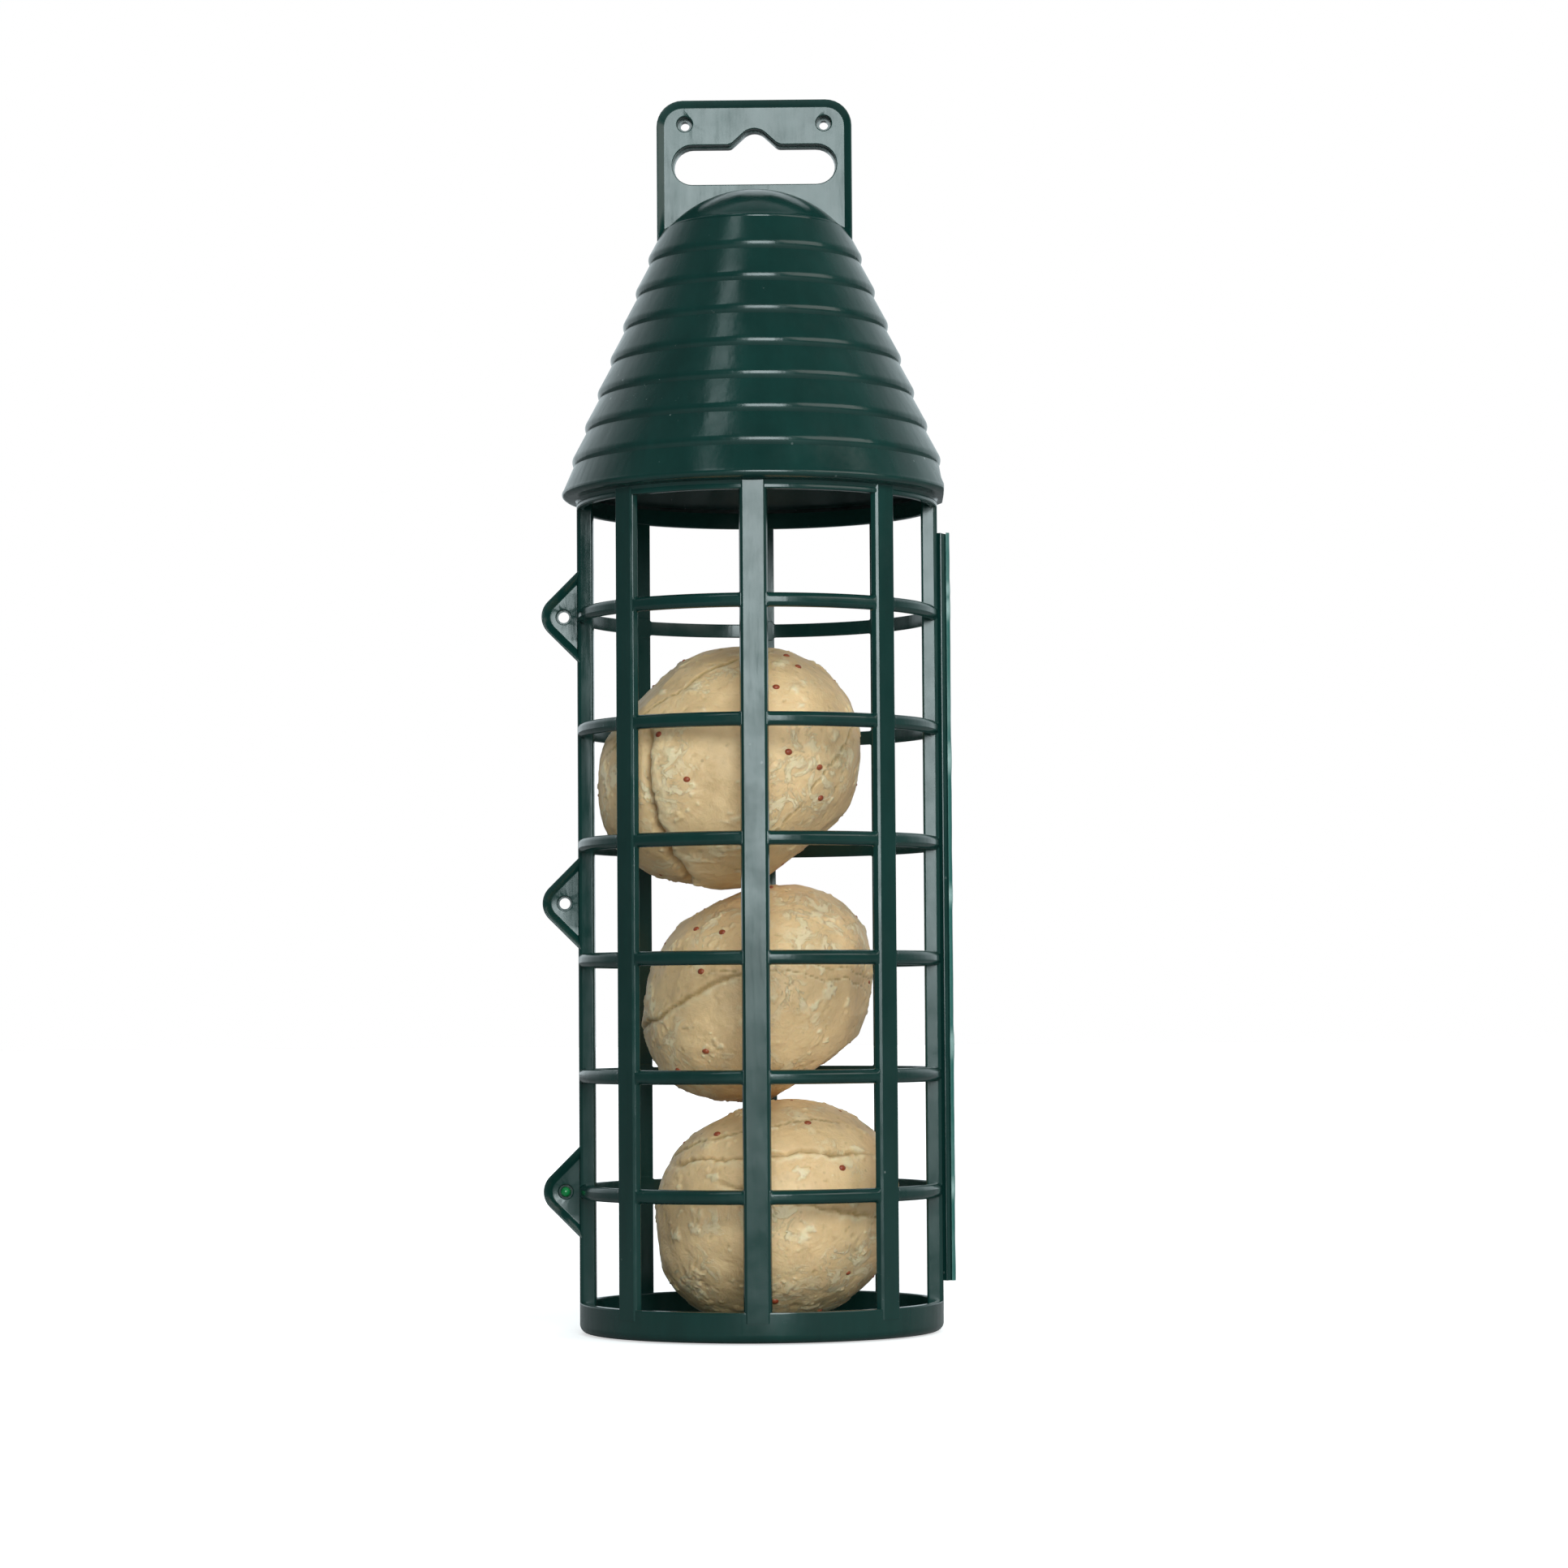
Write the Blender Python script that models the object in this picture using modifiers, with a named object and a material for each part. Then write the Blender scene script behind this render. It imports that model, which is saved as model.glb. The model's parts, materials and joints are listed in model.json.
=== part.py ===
"""Hanging fat-ball bird feeder: a moulded clamshell cage with a stepped roof and a hang plate.

Two half shells, front (-Y) and back (+Y), meet on the plane y = 0. A thin living hinge joins them
on the right (+X), and three pairs of ears close them on the left (-X), the lowest one with a peg.
Three pressed suet balls are stacked inside. The origin is the centre of the base's underside.
"""

import math

import bmesh
import bpy
from mathutils import Matrix, Vector

# Driving dimensions, in metres.
GAP = 0.0003  # clearance kept between neighbouring solids
PARTING = 0.00015  # each half stops this far short of the plane y = 0
RING_STEPS = 32  # facets round the cage and the roof

CAGE_RADIUS = 0.0411
CAGE_WALL = 0.0017
CAGE_INNER = CAGE_RADIUS - CAGE_WALL
LAP_RADIUS = 0.0401  # hoops pass behind the posts at this radius

BASE_HEIGHT = 0.0068
BASE_FLOOR = 0.0018
BASE_CORNER = 0.0015

HOOP_COUNT = 6
HOOP_FIRST_Z = 0.0316
HOOP_PITCH = 0.0261
HOOP_HEIGHT = 0.0032
HOOP_EDGE = 0.0005

POST_INNER_WIDTH = 0.0064
POST_OUTER_WIDTH = 0.0047
POST_ANGLES = {"left": -45, "center": 0, "right": 45}
SIDE_POST_DEPTH = 0.0037
SIDE_POST_WIDTH = 0.0025

TOP_RING_Z = 0.1864
TOP_RING_HEIGHT = 0.0041

RIM_RADIUS = 0.0444
RIM_Z = 0.1893
RIM_TRIM_X = 0.0425
TERRACES = 8
TERRACE_RISE = 0.0077
TERRACE_RUN = 0.00293
FIRST_NOSE_RADIUS = 0.0420
FIRST_NOSE_Z = 0.1969
NOSE_STEP = 0.0009
ROOF_WALL = 0.0016
ROOF_SPLIT_COURSE = 4  # the roof is two solids, which meet in the groove under this course
SOFFIT_DROP = 0.0024
DOME_SPHERE = 0.0254
DOME_FOOT_RADIUS = 0.0192
DOME_TOP_Z = 0.2598

PLATE_TOP_Z = 0.2802
PLATE_HALF_WIDTH = 0.0223
PLATE_FOOT_Z = 0.2485
PLATE_CORNER = 0.0060
PLATE_THICKNESS = 0.0033
PLATE_RIM = 0.0017
PLATE_RECESS = 0.0008
SLOT_HALF_WIDTH = 0.0184
SLOT_LOW_Z = 0.2605
SLOT_HIGH_Z = 0.2689
SLOT_APEX_Z = 0.2729
SLOT_APEX_RADIUS = 0.0030
SLOT_LIP = 0.0008
SCREW_HOLE_X = 0.0159
SCREW_HOLE_Z = 0.2745
SCREW_HOLE_RADIUS = 0.0017

LUG_HOLE_X = -0.0442
LUG_RADIUS = 0.00495
LUG_THICKNESS = 0.0042
LUG_RECESS = 0.0014
LUG_RIM = 0.0018
LUG_HOLE_RADIUS = {"front": 0.00175, "back": 0.00125}
LUG_HOOPS = {"bottom": 0, "middle": 2.5, "top": 5}  # height in hoop pitches above the first hoop

HINGE_X = 0.0439
HINGE_LOW_Z = 0.0111
HINGE_HIGH_Z = 0.1807
LEAF_END_X = 0.0434
LEAF_THICKNESS = 0.0014
FILM_THICKNESS = 0.0004

PEG_HEAD_RADIUS = 0.0024
PEG_HEAD_DEPTH = 0.0010
PEG_STEM_RADIUS = 0.0009
PEG_TIP_RADIUS = 0.0011
PEG_TIP_Y = -0.0026
PEG_NECK_Y = -0.0006

BALL_SEGMENTS = 18
BALL_RINGS = 12
BALLS = {
    "fat_ball_bottom": {"centre": (0.0036, -0.0030, 0.0270), "size": (0.0281, 0.0275, 0.0247)},
    "fat_ball_middle": {"centre": (-0.0006, 0.0050, 0.0763), "size": (0.0268, 0.0265, 0.0238)},
    "fat_ball_top": {"centre": (-0.0066, -0.0030, 0.1279), "size": (0.0304, 0.0290, 0.0268)},
}
BALL_SQUARENESS = 0.92

GREEN = (0.012, 0.060, 0.042)
FILM_TEAL = (0.030, 0.210, 0.150)
PEG_GREEN = (0.030, 0.300, 0.120)
SUET = (0.560, 0.400, 0.220)

SIDES = {"front": -1, "back": 1}


def clear_scene():
    for obj in list(bpy.data.objects):
        bpy.data.objects.remove(obj)


def make_collection(name):
    collection = bpy.data.collections.new(name)
    bpy.context.scene.collection.children.link(collection)
    return collection


def make_material(name, colour, roughness, alpha=1.0):
    material = bpy.data.materials.new(name)
    material.use_nodes = True
    shader = material.node_tree.nodes["Principled BSDF"]
    shader.inputs["Base Color"].default_value = (*colour, 1.0)
    shader.inputs["Roughness"].default_value = roughness
    shader.inputs["Metallic"].default_value = 0.0
    shader.inputs["Alpha"].default_value = alpha
    material.diffuse_color = (*colour, alpha)
    return material


def add_part(name, mesh, colour=GREEN, roughness=0.35, alpha=1.0):
    """A named sub-part with its own material, in the feeder's collection."""
    obj = bpy.data.objects.new(name, mesh)
    FEEDER.objects.link(obj)
    mesh.materials.append(make_material(name + "_material", colour, roughness, alpha))
    return obj


def add_cutter(name, mesh):
    """A helper solid that only cuts others."""
    obj = bpy.data.objects.new(name, mesh)
    CUTTERS.objects.link(obj)
    obj.hide_render = True
    obj.display_type = "WIRE"
    return obj


def cut(obj, cutter):
    boolean = obj.modifiers.new("cut_" + cutter.name, "BOOLEAN")
    boolean.operation = "DIFFERENCE"
    boolean.object = cutter


def box_mesh(name, low, high):
    """A box between two corners."""
    mesh = bpy.data.meshes.new(name)
    shape = bmesh.new()
    bmesh.ops.create_cube(shape, size=1.0)
    size = [h - l for l, h in zip(low, high)]
    middle = [(h + l) / 2 for l, h in zip(low, high)]
    bmesh.ops.scale(shape, vec=size, verts=shape.verts)
    bmesh.ops.translate(shape, vec=middle, verts=shape.verts)
    shape.to_mesh(mesh)
    shape.free()
    return mesh


def join_meshes(name, meshes):
    """Several separate solids in one mesh, for a cutter."""
    joined = bpy.data.meshes.new(name)
    shape = bmesh.new()
    for mesh in meshes:
        shape.from_mesh(mesh)
    shape.to_mesh(joined)
    shape.free()
    return joined


def profile_mesh(name, points, closed=True):
    """A chain of edges in the XZ plane, for a Screw modifier. Points are (radius, z)."""
    mesh = bpy.data.meshes.new(name)
    edges = [(i, i + 1) for i in range(len(points) - 1)]
    if closed:
        edges.append((len(points) - 1, 0))
    mesh.from_pydata([(r, 0, z) for r, z in points], edges, [])
    return mesh


def turn(obj, steps=RING_STEPS):
    screw = obj.modifiers.new("turned", "SCREW")
    screw.axis = "Z"
    screw.angle = 2 * math.pi
    screw.steps = steps
    screw.render_steps = steps
    screw.use_merge_vertices = True
    screw.merge_threshold = 0.00001
    screw.use_smooth_shade = True


def extruded_mesh(name, outlines, thickness):
    """A flat outline, with any holes, made solid. Outlines lie in XZ; the front face is at y = 0."""
    curve = bpy.data.curves.new(name, "CURVE")
    curve.dimensions = "2D"
    curve.fill_mode = "BOTH"
    curve.extrude = thickness / 2
    for outline in outlines:
        spline = curve.splines.new("POLY")
        spline.points.add(len(outline) - 1)
        for point, (x, z) in zip(spline.points, outline):
            point.co = (x, z, 0, 1)
        spline.use_cyclic_u = True
    carrier = bpy.data.objects.new(name, curve)
    bpy.context.scene.collection.objects.link(carrier)
    carrier.matrix_world = Matrix.Rotation(math.pi / 2, 4, "X")
    bpy.context.view_layer.update()
    evaluated = carrier.evaluated_get(bpy.context.evaluated_depsgraph_get())
    mesh = bpy.data.meshes.new_from_object(evaluated)
    mesh.transform(Matrix.Translation((0, thickness / 2, 0)) @ carrier.matrix_world)
    bpy.data.objects.remove(carrier)
    shape = bmesh.new()
    shape.from_mesh(mesh)
    bmesh.ops.remove_doubles(shape, verts=shape.verts, dist=0.00001)
    bmesh.ops.recalc_face_normals(shape, faces=shape.faces)
    shape.to_mesh(mesh)
    shape.free()
    return mesh


def arc(centre, radius, start, end, steps):
    """Points on an arc in a plane, angles in degrees."""
    points = []
    for i in range(steps + 1):
        angle = math.radians(start + (end - start) * i / steps)
        points.append((centre[0] + radius * math.cos(angle), centre[1] + radius * math.sin(angle)))
    return points


def hoop_height(index):
    return HOOP_FIRST_Z + HOOP_PITCH * index


def make_half_cutter(side, clearance, name):
    """Everything beyond the parting plane, as seen from one half."""
    reach = 0.1
    near = SIDES[side] * clearance
    far = -SIDES[side] * reach
    low = (-reach, min(near, far), -reach)
    high = (reach, max(near, far), 4 * reach)
    return add_cutter(f"{side}_{name}", box_mesh(name, low, high))


def post_angle(side, place):
    """Direction of a post from the axis, in radians; left is always -X."""
    lean = POST_ANGLES[place]
    return math.radians(-90 + lean) if side == "front" else math.radians(90 - lean)


def make_post_pocket_cutter(side):
    """The space that the three posts of a half take out of its hoops."""
    boxes = []
    half_width = POST_INNER_WIDTH / 2 + GAP
    for place in POST_ANGLES:
        box = box_mesh(place, (LAP_RADIUS, -half_width, 0), (2 * LAP_RADIUS, half_width, TOP_RING_Z))
        box.transform(Matrix.Rotation(post_angle(side, place), 4, "Z"))
        boxes.append(box)
    return add_cutter(side + "_post_pockets", join_meshes(side + "_post_pockets", boxes))


def make_base_cup(side):
    corner = arc((CAGE_RADIUS - BASE_CORNER, BASE_CORNER), BASE_CORNER, 0, -90, 3)
    profile = [
        (0, BASE_FLOOR),
        (CAGE_INNER, BASE_FLOOR),
        (CAGE_INNER, BASE_HEIGHT),
        (CAGE_RADIUS, BASE_HEIGHT),
        *corner,
        (0, 0),
    ]
    cup = add_part(side + "_base_cup", profile_mesh(side + "_base_cup", profile, closed=False))
    turn(cup)
    cut(cup, HALF_CUTTERS[side])
    return cup


def make_hoop(side, index):
    low = hoop_height(index) - HOOP_HEIGHT / 2
    high = low + HOOP_HEIGHT
    profile = [
        (CAGE_INNER, high),
        (CAGE_RADIUS - HOOP_EDGE, high),
        (CAGE_RADIUS, high - HOOP_EDGE),
        (CAGE_RADIUS, low + HOOP_EDGE),
        (CAGE_RADIUS - HOOP_EDGE, low),
        (CAGE_INNER, low),
    ]
    name = f"{side}_hoop_{index + 1}"
    hoop = add_part(name, profile_mesh(name, profile))
    turn(hoop)
    cut(hoop, HOOP_END_CUTTERS[side])
    cut(hoop, POST_POCKETS[side])
    return hoop


def post_outline():
    """Side view of a post, radius against height, with a notch in its inner face for each hoop."""
    low = BASE_HEIGHT + GAP
    high = TOP_RING_Z - GAP
    half_notch = HOOP_HEIGHT / 2 + GAP
    notch_radius = LAP_RADIUS + GAP
    outline = [(CAGE_INNER, low)]
    for index in range(HOOP_COUNT):
        z = hoop_height(index)
        outline += [(CAGE_INNER, z - half_notch), (notch_radius, z - half_notch)]
        outline += [(notch_radius, z + half_notch), (CAGE_INNER, z + half_notch)]
    outline += [(CAGE_INNER, high), (CAGE_RADIUS, high), (CAGE_RADIUS, low)]
    return outline


def make_post(side, place):
    name = f"{side}_post_{place}"
    mesh = extruded_mesh(name, [post_outline()], POST_INNER_WIDTH)
    mesh.transform(Matrix.Translation((0, -POST_INNER_WIDTH / 2, 0)))
    taper = (POST_OUTER_WIDTH / POST_INNER_WIDTH - 1) / CAGE_WALL
    for vertex in mesh.vertices:
        vertex.co.y *= 1 + taper * (vertex.co.x - CAGE_INNER)
    post = add_part(name, mesh)
    post.rotation_euler.z = post_angle(side, place)
    return post


def make_side_post(side, place):
    """One half of a post that the parting plane splits, where the hoops of that half end."""
    outer = -CAGE_RADIUS if place == "left" else CAGE_RADIUS
    inner = outer + SIDE_POST_DEPTH if place == "left" else outer - SIDE_POST_DEPTH
    faces = sorted((SIDES[side] * PARTING, SIDES[side] * SIDE_POST_WIDTH))
    low = (min(inner, outer), faces[0], BASE_HEIGHT + GAP)
    high = (max(inner, outer), faces[1], TOP_RING_Z - GAP)
    name = f"{side}_side_post_{place}"
    return add_part(name, box_mesh(name, low, high))


def make_top_ring(side):
    high = TOP_RING_Z + TOP_RING_HEIGHT
    profile = [
        (CAGE_INNER, high),
        (CAGE_RADIUS, high),
        (CAGE_RADIUS, TOP_RING_Z),
        (CAGE_INNER, TOP_RING_Z),
    ]
    ring = add_part(side + "_top_ring", profile_mesh(side + "_top_ring", profile))
    turn(ring)
    cut(ring, HALF_CUTTERS[side])
    return ring


def dome_centre():
    return (0, DOME_TOP_Z - DOME_SPHERE)


def roof_outer_profile(grow=0.0):
    """The stepped skin from the dome's top down to the rim, moved outwards by grow."""
    foot_angle = math.degrees(math.acos(DOME_FOOT_RADIUS / DOME_SPHERE))
    points = arc(dome_centre(), DOME_SPHERE + grow, 90, foot_angle, 5)
    points[0] = (0, DOME_TOP_Z + grow)
    for step in reversed(range(TERRACES)):
        radius = FIRST_NOSE_RADIUS - TERRACE_RUN * step + grow
        z = FIRST_NOSE_Z + TERRACE_RISE * step
        points += [(radius, z + grow), (radius - NOSE_STEP, z - NOSE_STEP)]
    return points + [(RIM_RADIUS + grow, RIM_Z)]


def make_roof_profile():
    """Hollow roof, with a soffit that slopes in under the rim to the cage."""
    soffit_radius = CAGE_RADIUS + GAP
    inner_rim = (RIM_RADIUS - ROOF_WALL, RIM_Z + ROOF_WALL)
    inner_dome = arc(dome_centre(), DOME_SPHERE - ROOF_WALL, 38, 90, 4)
    inner_dome[-1] = (0, DOME_TOP_Z - ROOF_WALL)
    return [
        *roof_outer_profile(),
        (soffit_radius, RIM_Z - SOFFIT_DROP),
        (soffit_radius, TOP_RING_Z + TOP_RING_HEIGHT + GAP),
        inner_rim,
        *inner_dome,
    ]


def make_roof(side, part):
    """One half of the roof's skirt or of its cap."""
    name = f"{side}_roof_{part}"
    roof = add_part(name, profile_mesh(name, make_roof_profile(), closed=False))
    turn(roof)
    cut(roof, HALF_CUTTERS[side])
    if part == "skirt":
        cut(roof, RIM_TRIM)
    cut(roof, ROOF_CUTTERS[part])
    return roof


def roof_arch():
    """The roof's silhouette under the hang plate, from the right foot over the dome to the left."""
    profile = roof_outer_profile(GAP)
    above = [point for point in profile if point[1] > PLATE_FOOT_Z]
    upper, lower = above[-1], profile[len(above)]
    share = (upper[1] - PLATE_FOOT_Z) / (upper[1] - lower[1])
    foot = (upper[0] + (lower[0] - upper[0]) * share, PLATE_FOOT_Z)
    over_the_dome = [foot, *reversed(above)]
    return over_the_dome + [(-x, z) for x, z in reversed(over_the_dome[:-1])]


def plate_outline(inset=0.0, arch=()):
    """Upright plate with two round top corners, in XZ, and an optional arch cut up from its foot."""
    half = PLATE_HALF_WIDTH - inset
    top = PLATE_TOP_Z - inset
    radius = PLATE_CORNER - inset
    left = arc((-half + radius, top - radius), radius, 180, 90, 4)
    right = arc((half - radius, top - radius), radius, 90, 0, 4)
    foot_z = PLATE_FOOT_Z - inset
    return [(-half, foot_z), *left, *right, (half, foot_z), *arch]


def slot_outline(grow=0.0):
    """A hanging slot: a long hole with round ends and a raised notch in the middle of its top."""
    radius = (SLOT_HIGH_Z - SLOT_LOW_Z) / 2
    middle = (SLOT_HIGH_Z + SLOT_LOW_Z) / 2
    reach = SLOT_HALF_WIDTH - radius
    apex = (0, SLOT_APEX_Z - SLOT_APEX_RADIUS)
    high = SLOT_HIGH_Z + grow
    apex_radius = SLOT_APEX_RADIUS + grow
    flank_x = apex_radius * math.sqrt(2) + apex[1] - high
    left = arc((-reach, middle), radius + grow, 270, 90, 6)
    crown = arc(apex, apex_radius, 135, 45, 4)
    right = arc((reach, middle), radius + grow, 90, -90, 6)
    return [*left, (-flank_x, high), *crown, (flank_x, high), *right]


def screw_hole_outline(side_x):
    return arc((side_x, SCREW_HOLE_Z), SCREW_HOLE_RADIUS, 0, 330, 11)


def face_outwards(mesh, side):
    """Moves a slab whose face is at y = 0, reaching to +Y, to its own side of the parting plane."""
    if side == "front":
        mesh.transform(Matrix.Scale(-1, 4, Vector((0, 1, 0))))
        mesh.flip_normals()
    mesh.transform(Matrix.Translation((0, SIDES[side] * PARTING, 0)))
    return mesh


def make_hang_plate(side):
    name = side + "_hang_plate"
    holes = [slot_outline(), screw_hole_outline(-SCREW_HOLE_X), screw_hole_outline(SCREW_HOLE_X)]
    slab = extruded_mesh(name, [plate_outline(arch=roof_arch()), *holes], PLATE_THICKNESS)
    plate = add_part(name, face_outwards(slab, side))
    recess = extruded_mesh(name, [plate_outline(PLATE_RIM), slot_outline(SLOT_LIP)], 0.01)
    recess.transform(Matrix.Translation((0, PLATE_THICKNESS - PLATE_RECESS, 0)))
    cut(plate, add_cutter(name + "_recess", face_outwards(recess, side)))
    return plate


def lug_outline(z, inset=0.0):
    """A round ear whose 45 degree flanks run out to the side post, or the hollow inside its rim."""
    radius = LUG_RADIUS - inset
    root_x = -CAGE_RADIUS - GAP + inset
    tip = arc((LUG_HOLE_X, z), radius, 135, 225, 6)
    rise = root_x - tip[0][0]
    return [(root_x, tip[0][1] + rise), *tip, (root_x, tip[-1][1] - rise)]


def make_lug(side, place):
    z = HOOP_FIRST_Z + HOOP_PITCH * LUG_HOOPS[place]
    name = f"{side}_lug_{place}"
    hole = arc((LUG_HOLE_X, z), LUG_HOLE_RADIUS[side], 0, 330, 11)
    slab = extruded_mesh(name, [lug_outline(z), hole], LUG_THICKNESS)
    lug = add_part(name, face_outwards(slab, side))
    recess = extruded_mesh(name, [lug_outline(z, LUG_RIM)], 0.01)
    recess.transform(Matrix.Translation((0, LUG_THICKNESS - LUG_RECESS, 0)))
    cut(lug, add_cutter(name + "_recess", face_outwards(recess, side)))
    return lug


def make_hinge_leaf(side):
    faces = sorted((SIDES[side] * PARTING, SIDES[side] * (PARTING + LEAF_THICKNESS)))
    low = (CAGE_RADIUS + GAP, faces[0], HINGE_LOW_Z)
    high = (LEAF_END_X, faces[1], HINGE_HIGH_Z)
    name = side + "_hinge_leaf"
    return add_part(name, box_mesh(name, low, high))


def make_living_hinge():
    """The thin web that bends when the front half swings open."""
    reach = PARTING + LEAF_THICKNESS
    low = (HINGE_X - FILM_THICKNESS / 2, -reach, HINGE_LOW_Z)
    high = (HINGE_X + FILM_THICKNESS / 2, reach, HINGE_HIGH_Z)
    mesh = box_mesh("living_hinge", low, high)
    return add_part("living_hinge", mesh, colour=FILM_TEAL, roughness=0.3, alpha=0.7)


def make_closure_peg():
    """A snap pin pushed in from behind: its round tip shows in the front ear's hole."""
    seat = PARTING + LUG_THICKNESS - LUG_RECESS + GAP
    head_end = seat + PEG_HEAD_DEPTH
    tip = arc((0, -PEG_TIP_Y - PEG_TIP_RADIUS), PEG_TIP_RADIUS, 90, 0, 3)
    profile = [
        *tip,
        (PEG_TIP_RADIUS, -PEG_NECK_Y + PEG_TIP_RADIUS - PEG_STEM_RADIUS),
        (PEG_STEM_RADIUS, -PEG_NECK_Y),
        (PEG_STEM_RADIUS, -seat),
        (PEG_HEAD_RADIUS, -seat),
        (PEG_HEAD_RADIUS, -head_end + PEG_HEAD_DEPTH / 3),
        (PEG_HEAD_RADIUS - PEG_HEAD_DEPTH / 3, -head_end),
        (0, -head_end),
    ]
    profile[0] = (0, -PEG_TIP_Y)
    mesh = profile_mesh("closure_peg", profile, closed=False)
    peg = add_part("closure_peg", mesh, colour=PEG_GREEN, roughness=0.25, alpha=0.9)
    turn(peg, steps=12)
    peg.rotation_euler.x = math.pi / 2
    peg.location = (LUG_HOLE_X, 0, HOOP_FIRST_Z)
    return peg


def make_ball(name):
    """A pressed suet ball, slightly squarer than an ellipsoid."""
    mesh = bpy.data.meshes.new(name)
    shape = bmesh.new()
    bmesh.ops.create_uvsphere(shape, u_segments=BALL_SEGMENTS, v_segments=BALL_RINGS, radius=1.0)
    size = BALLS[name]["size"]
    for vertex in shape.verts:
        direction = vertex.co.normalized()
        shaped = [math.copysign(abs(c) ** BALL_SQUARENESS, c) for c in direction]
        vertex.co = Vector([c * s for c, s in zip(shaped, size)])
    for face in shape.faces:
        face.smooth = True
    shape.to_mesh(mesh)
    shape.free()
    ball = add_part(name, mesh, colour=SUET, roughness=0.7)
    ball.location = BALLS[name]["centre"]
    return ball


def make_half(side):
    make_base_cup(side)
    for index in range(HOOP_COUNT):
        make_hoop(side, index)
    for place in POST_ANGLES:
        make_post(side, place)
    for place in ("left", "right"):
        make_side_post(side, place)
    make_top_ring(side)
    for part in ROOF_CUTTERS:
        make_roof(side, part)
    make_hang_plate(side)
    for place in LUG_HOOPS:
        make_lug(side, place)
    make_hinge_leaf(side)


clear_scene()
FEEDER = make_collection("hanging_bird_feeder")
CUTTERS = make_collection("cutters")
HALF_CUTTERS = {side: make_half_cutter(side, PARTING, "half_space") for side in SIDES}
HOOP_END_CUTTERS = {
    side: make_half_cutter(side, SIDE_POST_WIDTH + GAP, "hoop_ends") for side in SIDES
}
POST_POCKETS = {side: make_post_pocket_cutter(side) for side in SIDES}
RIM_TRIM = add_cutter("rim_trim", box_mesh("rim_trim", (RIM_TRIM_X, -0.1, 0.1), (0.1, 0.1, 0.3)))
ROOF_SPLIT_Z = FIRST_NOSE_Z + TERRACE_RISE * ROOF_SPLIT_COURSE - NOSE_STEP
above_split = box_mesh("above_split", (-0.1, -0.1, ROOF_SPLIT_Z), (0.1, 0.1, 0.3))
below_split = box_mesh("below_split", (-0.1, -0.1, 0.1), (0.1, 0.1, ROOF_SPLIT_Z + GAP))
ROOF_CUTTERS = {
    "skirt": add_cutter("above_split", above_split),
    "cap": add_cutter("below_split", below_split),
}

for half in SIDES:
    make_half(half)
make_living_hinge()
make_closure_peg()
for ball_name in BALLS:
    make_ball(ball_name)
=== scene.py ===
"""Looks of the hanging bird feeder: a dark green moulded clamshell cage round three suet balls.

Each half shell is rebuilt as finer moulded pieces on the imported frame: a roof of stepped courses,
a cage of drafted posts and hoops, a base cup, a hang plate, three ears and a hinge leaf.
"""

import json
import math

import bmesh
import bpy
from mathutils import Matrix, Vector, noise

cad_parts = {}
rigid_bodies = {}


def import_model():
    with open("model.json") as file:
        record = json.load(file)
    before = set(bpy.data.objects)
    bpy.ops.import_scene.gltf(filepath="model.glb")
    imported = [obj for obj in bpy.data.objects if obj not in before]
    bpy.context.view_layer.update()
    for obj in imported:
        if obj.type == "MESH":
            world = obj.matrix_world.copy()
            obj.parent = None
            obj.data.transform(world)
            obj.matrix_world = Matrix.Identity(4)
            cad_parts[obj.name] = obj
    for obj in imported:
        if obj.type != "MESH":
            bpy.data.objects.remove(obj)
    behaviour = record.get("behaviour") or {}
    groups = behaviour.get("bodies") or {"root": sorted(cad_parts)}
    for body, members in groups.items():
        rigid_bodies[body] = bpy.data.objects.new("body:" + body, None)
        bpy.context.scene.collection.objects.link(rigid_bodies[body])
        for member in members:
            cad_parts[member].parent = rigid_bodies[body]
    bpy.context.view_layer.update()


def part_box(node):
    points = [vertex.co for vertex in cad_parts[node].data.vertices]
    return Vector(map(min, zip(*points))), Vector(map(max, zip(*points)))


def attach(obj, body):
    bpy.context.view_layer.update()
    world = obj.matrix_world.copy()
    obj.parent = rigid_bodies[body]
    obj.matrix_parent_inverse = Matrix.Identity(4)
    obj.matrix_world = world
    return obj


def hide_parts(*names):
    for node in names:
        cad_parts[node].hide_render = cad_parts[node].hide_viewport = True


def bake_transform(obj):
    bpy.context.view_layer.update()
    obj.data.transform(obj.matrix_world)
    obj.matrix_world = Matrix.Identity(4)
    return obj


for leftover in list(bpy.data.objects):
    bpy.data.objects.remove(leftover)

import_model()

MM = 0.001
SIDES = {"front": -1, "back": 1}
SEAM = 0.015 * MM  # each half stops this far from the parting plane
POST_SEAM, HOOP_SEAM, PLATE_SEAM = (SEAM + extra * MM for extra in (0.01, 0.02, 0.03))  # no shared faces

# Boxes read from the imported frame.
BASE_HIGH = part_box("front_base_cup")[1]
RING_LOW, RING_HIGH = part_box("front_top_ring")
SKIRT_LOW, SKIRT_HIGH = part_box("front_roof_skirt")
DOME_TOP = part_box("front_roof_cap")[1].z
PLATE_LOW, PLATE_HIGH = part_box("front_hang_plate")
SIDE_LOW, SIDE_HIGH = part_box("front_side_post_right")
LEAF_LOW, LEAF_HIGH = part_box("front_hinge_leaf")
FILM_LOW, FILM_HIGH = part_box("living_hinge")
HOOPS = [sum(z.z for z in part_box(f"front_hoop_{i}")) / 2 for i in range(1, 7)]
CAGE = BASE_HIGH.x
INNER = SIDE_HIGH.x - 1.7 * MM

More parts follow.
